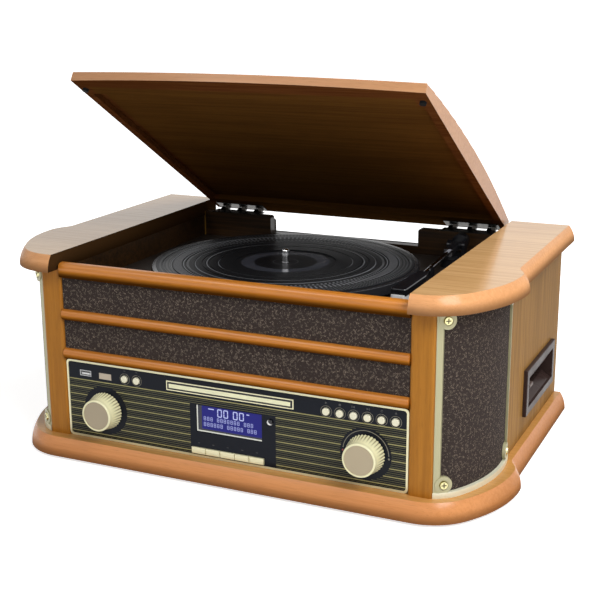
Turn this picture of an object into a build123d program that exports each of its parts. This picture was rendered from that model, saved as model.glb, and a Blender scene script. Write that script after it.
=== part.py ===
from build123d import *
from math import acos, asin, atan2, cos, degrees, pi, radians, sin
import os

# A free-standing wooden record player with an opened lid: a lobed plinth and wing boards, curved
# corner loudspeaker grilles, a control panel with knobs, keys and a disc tray, a cassette slot in
# the right side, and a belt-driven turntable in the well under the lid.
# Millimetres. X to the right, Y to the back, Z up. The origin is on the surface that the object
# stands on, below the middle of its length and of its depth with the lid open.

# Clearances
seat_gap = 0.2        # between pieces that are set in place
moving_gap = 0.3      # round pieces that slide or swing
shaft_gap = 0.05      # radial, round a turning shaft

# Plinth and cabinet
foot_height = 3.0
foot_radius = 9.0
foot_side_inset = 48.0
foot_end_inset = 41.25
plinth_height = 18.7
plinth_edge_radius = 31.0
body_depth = 342.5
lobe_half_width = 262.0
lobe_reach = 72.0
lobe_waist_depth = 9.0
lobe_front_radius = 55.0
lobe_side_depth = 106.5
shoulder_margin = 4.0
waist_radius = 14.0
cabinet_height = 172.8
side_face_inset = 12.7
side_thickness = 12.0
wing_thickness = 16.6
wing_edge_radius = 24.2
wing_overhang = 2.2
panel_setback = 18.5

# Posts, rails and cloth
post_inset = 57.5
post_width = 22.9
post_proud = 2.6
post_depth = 16.6
post_edge_radius = 3.0
rail_proud = 5.0
top_rail_rise = 7.0
top_rail_height = 15.0
top_rail_depth = 8.0
top_rail_top_radius = 5.0
top_rail_bottom_radius = 3.0
rail_height = 11.0
rail_depth = 10.0
rail_radius = 4.6
middle_rail_z = 121.3
lower_rail_z = 81.0
cloth_board_thickness = 4.0

# Corner loudspeakers
grille_front_inset = 15.5
grille_side_inset = 18.0
grille_end_depth = 112.2
frame_thickness = 2.4
frame_front_width = 5.2
frame_rear_width = 3.0
frame_foot_height = 5.4
frame_foot_proud = 1.2
frame_head_height = 3.0
ear_radius = 8.0
ear_rise = 0.8
ear_edge_distance = 8.3
ear_foot_distance = 12.6
screw_seat_radius = 4.9
screw_head_radius = 4.0
screw_head_height = 1.8
screw_head_taper = 20.0
screw_shank_radius = 1.5
cloth_thickness = 1.2
baffle_thickness = 9.4
baffle_rear_inset = 4.3
driver_radius = 40.0
driver_flange_radius = 45.0
driver_flange_thickness = 2.0
driver_depth = 34.0
driver_cone_depth = 14.0
dust_cap_radius = 9.0
magnet_radius = 27.0
basket_radius = 20.0
magnet_height = 13.0

# Turntable well and back
liner_thickness = 9.0
front_liner_thickness = 5.0
liner_drop = 33.5
ledge_width = 7.0
back_board_inset = 28.5
back_board_thickness = 10.0
back_board_rise = 5.0
notch_left_inset = 83.6
notch_right_inset = 93.6
notch_sill_drop = 4.5
notch_corner_radius = 3.0
back_panel_thickness = 5.0
vent_width = 46.0
vent_height = 3.0
vent_pitch = 8.0
vent_rows = 6
vent_centre_x = 90.0
vent_centre_z = 105.0
socket_plate_width = 42.0
socket_plate_height = 26.0
socket_plate_thickness = 2.0
socket_plate_corner = 3.0
socket_z = 42.0
inlet_x = -165.0
inlet_length = 20.0
inlet_height = 13.0
inlet_rise = 6.0
inlet_wall = 2.0
inlet_pin_radius = 1.2
inlet_pin_spacing = 8.0
line_out_x = 165.0
line_out_spacing = 14.0
line_out_radius = 4.2
line_out_bore = 1.7
line_out_rise = 8.0
deck_thickness = 3.0
deck_drop = 13.5
platter_drop = 10.0

# Platter and drive
platter_left_margin = 34.0
platter_right_margin = 55.6
platter_front_margin = 16.0
platter_back_margin = 1.5
platter_skirt = 10.2
platter_wall = 3.5
platter_web = 3.8
platter_edge_radius = 1.2
mat_inset = 5.0
mat_thickness = 2.2
mat_rim_rise = 0.3
mat_ring_insets = (6.5, 16.0, 27.0, 30.5, 39.5, 47.0, 54.0, 64.0)
mat_groove_width = 1.2
mat_groove_depth = 0.6
label_radius = 53.0
label_recess = 0.5
hub_radius = 12.0
spindle_radius = 3.55
spindle_rise = 13.5
spindle_dome = 2.6
bearing_shaft_radius = 4.0
bearing_radius = 9.0
bearing_drop = 16.0
bearing_rise = 1.2
drive_ring_radius = 60.5
drive_ring_wall = 2.5
belt_lift = 1.4
belt_height = 4.0
belt_thickness = 0.7
pulley_radius = 6.0
pulley_offset_x = -77.0
pulley_offset_y = 64.0
motor_radius = 18.0
motor_height = 24.0
motor_neck_radius = 5.0
motor_shaft_radius = 1.0

# Tonearm
arm_pivot_side_inset = 42.8
arm_pivot_back_inset = 33.5
arm_axis_rise = 8.5
arm_bend_offset = 9.5
arm_bend_depth = 126.0
arm_tube_radius = 2.6
arm_block_width = 9.0
arm_block_height = 8.0
arm_block_reach = 40.0
arm_block_tail = 13.5
arm_block_radius = 2.0
arm_chamfer = 1.0
arm_hub_width = 13.0
counterweight_radius = 8.5
counterweight_length = 13.0
headshell_width = 15.0
headshell_root_width = 9.0
headshell_root_length = 7.0
headshell_taper_length = 16.0
headshell_height = 6.5
headshell_wall = 1.4
headshell_front_depth = 51.0
cartridge_width = 9.0
cartridge_length = 18.0
cartridge_drop = 1.6
stylus_depth = 57.0
stylus_length = 10.0
stylus_gap = 0.45
guard_wall = 1.2
guard_length = 11.0
guard_corner_radius = 3.4
arm_base_width = 38.0
arm_base_length = 42.0
arm_base_height = 9.0
arm_base_radius = 8.0
arm_base_offset_x = 5.0
arm_base_offset_y = 4.0
turret_radius = 11.0
turret_flange = 3.0
turret_shaft_radius = 5.0
yoke_ear_thickness = 3.0
yoke_ear_length = 10.0
arm_pin_radius = 1.5
rest_depth = 139.0
rest_width = 8.0
rest_wall = 2.4
rest_fence = 7.0
lever_shaft_radius = 1.5
lever_width = 3.0
lever_length = 27.0
lever_rise = 2.0
lever_setback = 8.0
lever_drop = 5.0
speed_switch_inset = 11.8
speed_switch_setback = 56.0
speed_switch_travel = 12.0
speed_switch_length = 9.0
speed_switch_width = 6.0
speed_switch_height = 4.0
speed_switch_stem_radius = 1.5

# Lid, drawn about its hinge axis in a plane that is turned open
lid_open_angle = 30.9
lid_side_gap = 4.2
lid_bow = 7.8
lid_front_height = 8.5
lid_crown_height = 21.0
lid_rear_height = 12.5
lid_recess = 6.0
lid_front_rail = 28.0
lid_side_rail = 8.5
lid_rear_rail = 30.0
lid_rear_overhang = 8.0
lid_edge_radius = 1.5
bumper_radius = 3.0
bumper_side_inset = 7.0
bumper_margin = 1.0
hinge_setback = 18.5
hinge_leaf = 1.0
hinge_centre_inset = 37.1
hinge_length = 62.0
hinge_lid_reach = 14.0
knuckle_radius = 2.1
knuckle_length = 4.4
knuckle_pitch = 22.0
knuckle_lift = 1.6
hinge_pin_radius = 1.2

# Control panel, with insets from its ends, heights from the plinth's top and drops from its top
panel_thickness = 3.0
panel_corner_radius = 4.0
trim_width = 2.0
trim_rise = 0.6
trim_corner_radius = 3.0
tray_x = 1.5
tray_drop = 12.4
tray_door_width = 131.0
tray_door_height = 5.4
tray_door_thickness = 3.0
tray_door_proud = 1.0
tray_frame_width = 1.8
tray_width = 126.0
tray_thickness = 4.0
tray_length = 148.0
disc_margin = 8.0
disc_radius = 60.5
disc_recess = 1.3
small_disc_radius = 40.3
disc_slot_width = 34.0
mechanism_wall = 8.0
mechanism_depth = 160.0
mechanism_height = 20.0
mechanism_setback = 2.0
mechanism_leg = 8.0
usb_inset = 21.9
usb_drop = 13.0
usb_width = 13.4
usb_height = 6.0
usb_wall = 0.7
usb_depth = 9.0
remote_inset = 44.9
remote_drop = 13.7
remote_width = 14.4
remote_height = 6.4
button_radius = 3.7
button_proud = 2.2
button_travel = 1.5
button_collar = 1.0
collar_thickness = 1.2
button_stem_radius = 1.4
source_inset = 67.8
source_pitch = 13.7
source_drop = 13.0
player_inset = 79.7
player_pitch = 13.45
player_drop = 14.2
standby_x = 45.0
standby_z = 47.6
standby_radius = 2.9
display_x = 0.8
display_z = 39.6
display_width = 70.5
display_height = 27.4
display_sink = 1.0
key_x = -31.9
key_z = 6.6
key_pitch = 15.6
key_gap = 0.5
key_height = 6.2
key_proud = 2.0
left_knob_inset = 43.9
right_knob_inset = 40.9
knob_z = 31.8
knob_base_radius = 19.0
knob_ring_radius = 16.2
knob_ring_depth = 4.0
knob_proud = 18.0
knob_rim_width = 1.8
knob_edge_radius = 1.0
knob_recess = 0.7
knob_flutes = 36
knob_flute_depth = 0.9
knob_shaft_radius = 3.0
encoder_radius = 8.0
board_setback = 10.0
board_thickness = 1.6
switch_size = 6.0
switch_depth = 1.4
main_board_x = -85.0
main_board_width = 130.0
main_board_length = 98.0
main_board_height = 6.0
transformer_width = 55.0
transformer_length = 66.0
transformer_height = 46.0

# Cassette slot in the right side, with heights from the plinth's top
cassette_back_inset = 29.0
cassette_length = 120.0
cassette_z = 21.3
cassette_height = 48.5
bezel_proud = 4.0
bezel_overlap = 6.0
bezel_rim = 8.0
bezel_step = 1.4
bezel_edge_radius = 1.0
mouth_margin = 8.5
mouth_top_margin = 17.0
mouth_height = 17.0
hood_height = 7.0
hood_depth = 5.0
guide_height = 6.0
guide_lip = 2.4
guide_depth = 11.0
pocket_depth = 70.0
pocket_wall = 2.5
eject_key_width = 14.0
eject_key_thickness = 3.4
eject_key_length = 38.0
eject_key_proud = 0.6

# Widths worked out from the corner lobes inwards
side_half_width = lobe_half_width - lobe_waist_depth
side_face_x = side_half_width - side_face_inset
lobe_start_x = lobe_half_width - lobe_reach
post_outer_x = lobe_half_width - post_inset
post_inner_x = post_outer_x - post_width
wing_inner_x = post_inner_x + wing_overhang
lid_half_width = wing_inner_x - lid_side_gap
rail_half_length = post_inner_x - seat_gap
grille_start_x = post_outer_x + seat_gap

# Depths: the origin is in the middle of the depth with the lid open
tilt = radians(lid_open_angle)
lid_under = knuckle_radius + moving_gap + hinge_leaf
lid_back_reach = lid_rear_overhang * cos(tilt) + (lid_under + lid_rear_height) * sin(tilt)
hinge_inset = back_board_inset - hinge_setback
front = -(body_depth - hinge_inset + lid_back_reach) / 2
back = front + body_depth
panel_y = front + panel_setback
post_back_y = panel_y - post_proud + post_depth
grille_end_y = panel_y + grille_end_depth
back_board_y = back - back_board_inset
back_face_y = back_board_y + back_board_thickness
hinge_y = back - hinge_inset
lid_length = hinge_y + lid_rear_overhang - front

# The platter is the largest that the well and the arm leave room for
platter_radius = min(
    (2 * wing_inner_x - platter_left_margin - platter_right_margin) / 2,
    (back_board_y - panel_y - platter_front_margin - platter_back_margin) / 2,
)
platter_x = platter_left_margin + platter_radius - wing_inner_x
platter_y = back_board_y - platter_back_margin - platter_radius

# Heights
plinth_top = foot_height + plinth_height
wing_under = plinth_top + cabinet_height
wing_top = wing_under + wing_thickness
back_board_top = wing_under + back_board_rise
platter_top = wing_under - platter_drop
deck_top = platter_top - deck_drop
deck_under = deck_top - deck_thickness
liner_bottom = wing_under - liner_drop
top_rail_top = wing_under + top_rail_rise
top_rail_bottom = top_rail_top - top_rail_height
middle_rail_bottom = plinth_top + middle_rail_z
lower_rail_bottom = plinth_top + lower_rail_z
rail_x = (-rail_half_length, rail_half_length)
hinge_z = back_board_top + knuckle_lift

os.makedirs("parts", exist_ok=True)


def front_plane(y):
    """Drawing plane that faces the front, with local x along X and local y along Z."""
    return Plane.XZ.offset(-y)


def side_plane(x):
    """Drawing plane that faces the right, with local x along Y and local y along Z."""
    return Plane.YZ.offset(x)


def turning_plane(x, y):
    """Drawing plane through a vertical axis, with local x as radius and local y as height."""
    return Plane(origin=(x, y, 0), x_dir=(1, 0, 0), z_dir=(0, -1, 0))


def upright(x, y):
    return Axis((x, y, 0), (0, 0, 1))


def span(centre, size):
    return (centre - size / 2, centre + size / 2)


def board(x_span, y_span, z_span, mode=Mode.ADD):
    """A straight board between two x, two y and two z values."""
    spans = (x_span, y_span, z_span)
    with Locations(tuple((low + high) / 2 for low, high in spans)):
        Box(*[high - low for low, high in spans], mode=mode)


def save(piece, label):
    piece.part.label = label
    export_step(piece.part, f"parts/{label}.step")


front_centre = (lobe_start_x, front + lobe_front_radius)


def corner_curve(front_inset=0, side_inset=0):
    """Two tangent arcs round a corner in plan: both radii, the side arc's centre and the joint."""
    front_radius = lobe_front_radius - front_inset
    reach = lobe_half_width - side_inset - lobe_start_x
    run = lobe_side_depth - lobe_front_radius
    side_radius = (reach**2 + run**2 - front_radius**2) / (2 * (reach - front_radius))
    side_centre_x = lobe_start_x + reach - side_radius
    joint = degrees(atan2(-run, lobe_start_x - side_centre_x))
    return front_radius, side_radius, (side_centre_x, front + lobe_side_depth), joint


def lobed_edge(start_x):
    """The front edge from start_x, the corner lobe, its shoulder and waist, and the side."""
    front_radius, side_radius, side_centre, joint = corner_curve()
    shoulder_radius = plinth_edge_radius + shoulder_margin
    reach = shoulder_radius + waist_radius
    turn = degrees(acos(1 - (lobe_half_width - side_half_width) / reach))
    shoulder_centre = (lobe_half_width - shoulder_radius, side_centre[1])
    waist_centre = (
        shoulder_centre[0] + reach * cos(radians(turn)),
        shoulder_centre[1] + reach * sin(radians(turn)),
    )
    Line((start_x, front), (lobe_start_x, front))
    CenterArc(front_centre, front_radius, -90, 90 + joint)
    CenterArc(side_centre, side_radius, joint, -joint)
    CenterArc(shoulder_centre, shoulder_radius, 0, turn)
    CenterArc(waist_centre, waist_radius, 180 + turn, -turn)
    Polyline((side_half_width, waist_centre[1]), (side_half_width, back), (start_x, back))
    Line((start_x, back), (start_x, front))


def moulded_edges(block, inner_x):
    """The top edges of a lobed block, but not those along the back or at inner_x."""
    top = block.faces().sort_by(Axis.Z)[-1]
    return [
        edge
        for edge in top.edges()
        if edge.center().Y < back - seat_gap and abs(edge.center().X - inner_x) > seat_gap
    ]


# Plinth: the quarter round is taller than the board, whose top cuts it off flat
with BuildPart() as plinth_half:
    with BuildSketch(Plane.XY.offset(foot_height)):
        with BuildLine():
            lobed_edge(0)
        make_face()
    extrude(amount=plinth_edge_radius + seat_gap)
    fillet(moulded_edges(plinth_half, 0), radius=plinth_edge_radius)
    split(bisect_by=Plane.XY.offset(plinth_top), keep=Keep.BOTTOM)

with BuildPart() as base_plinth:
    add(plinth_half.part)
    mirror(about=Plane.YZ)
save(base_plinth, "base_plinth")

with BuildPart() as rubber_feet:
    foot_span = (2 * (side_half_width - foot_side_inset), body_depth - 2 * foot_end_inset)
    with BuildSketch():
        with Locations((0, (front + back) / 2)):
            with GridLocations(*foot_span, 2, 2):
                Circle(foot_radius)
    extrude(amount=foot_height)
    chamfer(rubber_feet.edges().group_by(Axis.Z)[0], length=foot_height / 4)
save(rubber_feet, "rubber_feet")

with BuildPart() as wing_boards:
    with BuildSketch(Plane.XY.offset(wing_under)):
        with BuildLine():
            lobed_edge(wing_inner_x)
        make_face()
    extrude(amount=wing_edge_radius + seat_gap)
    fillet(moulded_edges(wing_boards, wing_inner_x), radius=wing_edge_radius)
    split(bisect_by=Plane.XY.offset(wing_top), keep=Keep.BOTTOM)
    mirror(about=Plane.YZ)
save(wing_boards, "wing_boards")

# Side panels: the right one is cut out for the cassette slot's neck
bezel_y = (back - cassette_back_inset - cassette_length, back - cassette_back_inset)
bezel_z = (plinth_top + cassette_z, plinth_top + cassette_z + cassette_height)
neck_y = (bezel_y[0] + bezel_overlap, bezel_y[1] - bezel_overlap)
neck_z = (bezel_z[0] + bezel_overlap, bezel_z[1] - bezel_overlap)
side_inner_x = side_face_x - side_thickness

with BuildPart() as side_panels:
    board((side_inner_x, side_face_x), (grille_end_y + seat_gap, back), (plinth_top, wing_under))
    mirror(about=Plane.YZ)
    board(
        (side_inner_x, side_face_x),
        (neck_y[0] - seat_gap, neck_y[1] + seat_gap),
        (neck_z[0] - seat_gap, neck_z[1] + seat_gap),
        mode=Mode.SUBTRACT,
    )
save(side_panels, "side_panels")

with BuildPart() as front_posts:
    board(
        (post_inner_x, post_outer_x),
        (panel_y - post_proud, post_back_y),
        (plinth_top, wing_under),
    )
    fillet(front_posts.edges().filter_by(Axis.Z).group_by(Axis.Y)[0], radius=post_edge_radius)
    mirror(about=Plane.YZ)
save(front_posts, "front_posts")

rail_front_y = panel_y - rail_proud
with BuildPart() as front_rails:
    board(rail_x, (rail_front_y, rail_front_y + top_rail_depth), (top_rail_bottom, top_rail_top))
    for bottom in (middle_rail_bottom, lower_rail_bottom):
        board(rail_x, (rail_front_y, rail_front_y + rail_depth), (bottom, bottom + rail_height))
    rail_edges = front_rails.edges().filter_by(Axis.X).group_by(Axis.Y)[0].sort_by(Axis.Z)
    fillet(rail_edges[:4], radius=rail_radius)
    fillet(rail_edges[4], radius=top_rail_bottom_radius)
    fillet(rail_edges[5], radius=top_rail_top_radius)
save(front_rails, "front_rails")


# Corner grilles: sheets bent round the two tangent arcs, cut square at the post and side panel
def bent_sheet(z, depth, thickness, x_to=lobe_half_width, y_from=front):
    """Plan of a sheet at height z that lies a depth behind the right grille's face."""
    front_radius, side_radius, side_centre, joint = corner_curve(
        grille_front_inset, grille_side_inset
    )
    front_radius -= depth
    side_radius -= depth
    past_end = 25
    with BuildSketch(Plane.XY.offset(z)) as sheet:
        with BuildLine():
            face_front = CenterArc(front_centre, front_radius, -90, 90 + joint)
            face_side = CenterArc(side_centre, side_radius, joint, past_end - joint)
            rear_front = CenterArc(front_centre, front_radius - thickness, -90, 90 + joint)
            rear_side = CenterArc(side_centre, side_radius - thickness, joint, past_end - joint)
            Line(face_front @ 0, rear_front @ 0)
            Line(face_side @ 1, rear_side @ 1)
        make_face()
        with Locations(((grille_start_x + x_to) / 2, (y_from + grille_end_y) / 2)):
            Rectangle(x_to - grille_start_x, grille_end_y - y_from, mode=Mode.INTERSECT)
    return sheet.sketch


cloth_y = (panel_y, panel_y + cloth_board_thickness)
with BuildPart() as speaker_cloths:
    extrude(bent_sheet(plinth_top, frame_thickness + seat_gap, cloth_thickness), cabinet_height)
    mirror(about=Plane.YZ)
    board(rail_x, cloth_y, (middle_rail_bottom + rail_height, top_rail_bottom))
    board(rail_x, cloth_y, (lower_rail_bottom + rail_height, middle_rail_bottom))
save(speaker_cloths, "speaker_cloths")

# Ears: the round plates with screws at the four corners of each grille frame
grille_front_radius, grille_side_radius, grille_side_centre, _ = corner_curve(
    grille_front_inset, grille_side_inset
)
front_ear_x = grille_start_x + ear_edge_distance
rear_ear_y = grille_end_y - ear_edge_distance
front_ear_angle = -acos((front_ear_x - front_centre[0]) / grille_front_radius)
rear_ear_angle = asin((rear_ear_y - grille_side_centre[1]) / grille_side_radius)
ear_planes = []
for arc_centre, arc_radius, angle in (
    (front_centre, grille_front_radius, front_ear_angle),
    (grille_side_centre, grille_side_radius, rear_ear_angle),
):
    outward = Vector(cos(angle), sin(angle), 0)
    for height in (plinth_top + ear_foot_distance, wing_under - ear_edge_distance):
        ear_centre = Vector(arc_centre[0], arc_centre[1], height) + outward * arc_radius
        ear_planes.append(Plane(origin=ear_centre, x_dir=(0, 0, 1), z_dir=outward))

with BuildPart() as ear_discs:
    for plane in ear_planes:
        with BuildSketch(plane.offset(-2 * frame_thickness)):
            Circle(ear_radius)
        extrude(amount=4 * frame_thickness)

with BuildPart() as ears:
    ear_foot_z = plinth_top + frame_foot_height
    ear_sheet = bent_sheet(ear_foot_z, -ear_rise, frame_thickness + ear_rise)
    extrude(ear_sheet, wing_under - ear_foot_z)
    add(ear_discs.part, mode=Mode.INTERSECT)

with BuildPart() as grille_frames:
    front_bar_x = grille_start_x + frame_front_width
    rear_bar_y = grille_end_y - frame_rear_width
    head_z = wing_under - frame_head_height
    foot_bar = bent_sheet(plinth_top, -frame_foot_proud, frame_thickness + frame_foot_proud)
    extrude(foot_bar, frame_foot_height)
    extrude(bent_sheet(head_z, 0, frame_thickness), frame_head_height)
    extrude(bent_sheet(plinth_top, 0, frame_thickness, x_to=front_bar_x), cabinet_height)
    extrude(bent_sheet(plinth_top, 0, frame_thickness, y_from=rear_bar_y), cabinet_height)
    add(ears.part)
    for plane in ear_planes:
        with BuildSketch(plane):
            Circle(screw_seat_radius)
        extrude(amount=2 * frame_thickness, mode=Mode.SUBTRACT)
        with BuildSketch(plane):
            Circle(screw_shank_radius + seat_gap)
        extrude(amount=-2 * frame_thickness, mode=Mode.SUBTRACT)
    mirror(about=Plane.YZ)
save(grille_frames, "grille_frames")

with BuildPart() as grille_screws:
    for plane in ear_planes:
        with BuildSketch(plane):
            Circle(screw_head_radius)
        extrude(amount=screw_head_height, taper=screw_head_taper)
        with BuildSketch(plane):
            Circle(screw_shank_radius)
        extrude(amount=-frame_thickness)
    mirror(about=Plane.YZ)
save(grille_screws, "grille_screws")

# Loudspeakers: a slanted baffle from the post to the side panel, with a cone driver behind it
baffle_front = Vector(post_outer_x, post_back_y + seat_gap, 0)
baffle_rear = Vector(side_face_x - baffle_rear_inset, grille_end_y, 0)
baffle_run = (baffle_rear - baffle_front).normalized()
baffle_normal = Vector(baffle_run.Y, -baffle_run.X, 0)
baffle_offset = Vector(baffle_thickness, 0, 0)
driver_seat = (baffle_front + baffle_rear) / 2 + Vector(0, 0, (plinth_top + wing_under) / 2)
driver_plane = Plane(origin=driver_seat, x_dir=(0, 0, 1), z_dir=baffle_normal)

with BuildPart() as speaker_baffles:
    with BuildSketch(Plane.XY.offset(plinth_top)):
        with BuildLine():
            Polyline(
                baffle_front,
                baffle_rear,
                baffle_rear - baffle_offset,
                baffle_front - baffle_offset,
                close=True,
            )
        make_face()
    extrude(amount=cabinet_height)
    with BuildSketch(driver_plane.offset(baffle_thickness)):
        Circle(driver_radius)
    extrude(amount=-3 * baffle_thickness, mode=Mode.SUBTRACT)
    mirror(about=Plane.YZ)
save(speaker_baffles, "speaker_baffles")

with BuildPart() as speaker_drivers:
    with BuildSketch(Plane(origin=driver_seat, x_dir=(0, 0, 1), z_dir=baffle_run)):
        seat_level = -baffle_thickness * baffle_normal.X - seat_gap
        cone_radius = driver_radius - driver_flange_thickness
        magnet_level = seat_level - driver_depth
        with BuildLine():
            Polyline(
                (0, seat_level - driver_cone_depth),
                (dust_cap_radius, seat_level - driver_cone_depth),
                (cone_radius, seat_level - driver_flange_thickness / 2),
                (driver_radius, seat_level),
                (driver_flange_radius, seat_level),
                (driver_flange_radius, seat_level - driver_flange_thickness),
                (driver_radius, seat_level - driver_flange_thickness),
                (basket_radius, magnet_level + magnet_height),
                (magnet_radius, magnet_level + magnet_height),
                (magnet_radius, magnet_level),
                (0, magnet_level),
                close=True,
            )
        make_face()
    revolve(axis=Axis(driver_seat, baffle_normal))
    mirror(about=Plane.YZ)
save(speaker_drivers, "speaker_drivers")

# Well: liners at the sides with ledges for the deck, a low front liner, and the back board,
# which is notched so that a large record can reach out past it
notch_sill = platter_top - notch_sill_drop
notch_left_x = notch_left_inset - lid_half_width
notch_right_x = lid_half_width - notch_right_inset


def notched_board(y, half_width, bottom, top):
    """Face of an upright board with the notch for large records in its top edge."""
    with BuildSketch(front_plane(y)) as outline:
        with BuildLine():
            Polyline(
                (-half_width, bottom),
                (half_width, bottom),
                (half_width, top),
                (notch_right_x, top),
                (notch_right_x, notch_sill),
                (notch_left_x, notch_sill),
                (notch_left_x, top),
                (-half_width, top),
                close=True,
            )
        make_face()
        top_corners = outline.vertices().group_by(Axis.Y)[-1].sort_by(Axis.X)
        fillet(top_corners[1:3], radius=notch_corner_radius)
    return outline.sketch


liner_z = (liner_bottom, wing_under)
front_liner_y = rail_front_y + rail_depth + seat_gap
with BuildPart() as well_liners:
    board((wing_inner_x, wing_inner_x + liner_thickness), (post_back_y, back_face_y), liner_z)
    board(
        (wing_inner_x - ledge_width, wing_inner_x),
        (post_back_y + seat_gap, back_board_y - seat_gap),
        (liner_bottom, deck_under),
    )
    mirror(about=Plane.YZ)
    board(
        rail_x,
        (front_liner_y, front_liner_y + front_liner_thickness),
        (liner_bottom, platter_top - mat_thickness),
    )
    back_board = notched_board(
        back_face_y, wing_inner_x - seat_gap, liner_bottom, back_board_top
    )
    extrude(back_board, back_board_thickness)
save(well_liners, "well_liners")

# Back panel: the notch goes through it too, and it has rows of air slots
back_outer_y = back_face_y + seat_gap + back_panel_thickness
with BuildPart() as back_panel:
    back_outline = notched_board(
        back_outer_y, side_inner_x - seat_gap, plinth_top + seat_gap, wing_under - seat_gap
    )
    extrude(back_outline, back_panel_thickness)
    with BuildSketch(front_plane(back_outer_y)):
        with Locations((-vent_centre_x, vent_centre_z), (vent_centre_x, vent_centre_z)):
            with GridLocations(vent_width + vent_pitch, vent_pitch, 2, vent_rows):
                SlotOverall(vent_width, vent_height)
    extrude(amount=back_panel_thickness, mode=Mode.SUBTRACT)
save(back_panel, "back_panel")

# Rear sockets: a mains inlet with two pins and a pair of line sockets, each on its plate
socket_face_y = back_outer_y + socket_plate_thickness
inlet_face_y = socket_face_y + inlet_rise
line_out_face_y = socket_face_y + line_out_rise
with BuildPart() as rear_sockets:
    with BuildSketch(front_plane(socket_face_y)):
        with Locations((inlet_x, socket_z), (line_out_x, socket_z)):
            RectangleRounded(socket_plate_width, socket_plate_height, socket_plate_corner)
    extrude(amount=socket_plate_thickness)
    with BuildSketch(front_plane(line_out_face_y)):
        with Locations((line_out_x, socket_z)):
            with GridLocations(line_out_spacing, 0, 2, 1):
                Circle(line_out_radius)
    extrude(amount=line_out_rise)
    with BuildSketch(front_plane(line_out_face_y)):
        with Locations((line_out_x, socket_z)):
            with GridLocations(line_out_spacing, 0, 2, 1):
                Circle(line_out_bore)
    extrude(amount=line_out_rise, mode=Mode.SUBTRACT)
    with BuildSketch(front_plane(inlet_face_y)):
        with Locations((inlet_x, socket_z)):
            SlotOverall(inlet_length, inlet_height)
    extrude(amount=inlet_rise)
    with BuildSketch(front_plane(inlet_face_y)):
        with Locations((inlet_x, socket_z)):
            SlotOverall(inlet_length - 2 * inlet_wall, inlet_height - 2 * inlet_wall)
    extrude(amount=inlet_rise, mode=Mode.SUBTRACT)
    with BuildSketch(front_plane(inlet_face_y - inlet_rise / 4)):
        with Locations((inlet_x, socket_z)):
            with GridLocations(inlet_pin_spacing, 0, 2, 1):
                Circle(inlet_pin_radius)
    extrude(amount=inlet_rise)
save(rear_sockets, "rear_sockets")

# Turntable deck: a plate on the ledges, with the platter's bearing and holes for what goes through
pulley_x = platter_x + pulley_offset_x
pulley_y = platter_y + pulley_offset_y
deck_half_width = wing_inner_x - seat_gap
deck_front_y = front_liner_y + front_liner_thickness + seat_gap
bearing_top = deck_top + bearing_rise
bearing_bottom = deck_under - bearing_drop
arm_x = wing_inner_x - arm_pivot_side_inset
arm_y = back_board_y - arm_pivot_back_inset
speed_switch_x = wing_inner_x - speed_switch_inset
switch_y = arm_y - speed_switch_setback
switch_slot_width = 2 * (speed_switch_stem_radius + moving_gap)
with BuildPart() as turntable_deck:
    board(
        (-deck_half_width, deck_half_width),
        (deck_front_y, back_board_y - seat_gap),
        (deck_under, deck_top),
    )
    for sign in (-1, 1):
        board(
            span(sign * deck_half_width, 2 * (deck_half_width - rail_half_length)),
            (deck_front_y, post_back_y + seat_gap),
            (deck_under, deck_top),
            mode=Mode.SUBTRACT,
        )
    with BuildSketch(Plane.XY.offset(bearing_bottom)):
        with Locations((platter_x, platter_y)):
            Circle(bearing_radius)
    extrude(amount=bearing_top - bearing_bottom)
    with BuildSketch(Plane.XY.offset(bearing_top)):
        with Locations((platter_x, platter_y)):
            Circle(bearing_shaft_radius + shaft_gap)
        with Locations((pulley_x, pulley_y)):
            Circle(motor_neck_radius + seat_gap)
        with Locations((speed_switch_x, switch_y)):
            SlotOverall(speed_switch_travel + switch_slot_width, switch_slot_width, rotation=90)
    extrude(amount=bearing_bottom - bearing_top, mode=Mode.SUBTRACT)
save(turntable_deck, "turntable_deck")

# Platter: a turned dish with a skirt, a hub and the ring that the belt drives
mat_radius = platter_radius - mat_inset
mat_under = platter_top - mat_thickness
web_under = mat_under - platter_web
rim_top = platter_top - mat_rim_rise
belt_bottom = deck_top + belt_lift
with BuildPart() as platter:
    with BuildSketch(turning_plane(platter_x, platter_y)):
        bore = bearing_shaft_radius + shaft_gap
        ring_inner = drive_ring_radius - drive_ring_wall
        rim_inner = platter_radius - platter_wall
        with BuildLine():
            Polyline(
                (bore, bearing_top + seat_gap),
                (hub_radius, bearing_top + seat_gap),
                (hub_radius, web_under),
                (ring_inner, web_under),
                (ring_inner, belt_bottom - seat_gap),
                (drive_ring_radius, belt_bottom - seat_gap),
                (drive_ring_radius, web_under),
                (rim_inner, web_under),
                (rim_inner, rim_top - platter_skirt),
                (platter_radius, rim_top - platter_skirt),
                (platter_radius, rim_top),
                (mat_radius + seat_gap, rim_top),
                (mat_radius + seat_gap, mat_under),
                (bore, mat_under),
                close=True,
            )
        make_face()
    revolve(axis=upright(platter_x, platter_y))
    widest_edges = platter.edges().filter_by(GeomType.CIRCLE).sort_by(SortBy.RADIUS)[-2:]
    fillet(widest_edges.sort_by(Axis.Z)[-1], radius=platter_edge_radius)
save(platter, "platter")

with BuildPart() as platter_mat:
    with BuildSketch(turning_plane(platter_x, platter_y)):
        hole = bearing_shaft_radius + moving_gap
        with Locations(((hole + mat_radius) / 2, (mat_under + platter_top) / 2)):
            Rectangle(mat_radius - hole, mat_thickness)
        with Locations([(mat_radius - inset, platter_top) for inset in mat_ring_insets]):
            Rectangle(mat_groove_width, 2 * mat_groove_depth, mode=Mode.SUBTRACT)
        with Locations((0, platter_top)):
            Rectangle(2 * label_radius, 2 * label_recess, mode=Mode.SUBTRACT)
    revolve(axis=upright(platter_x, platter_y))
save(platter_mat, "platter_mat")

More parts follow.
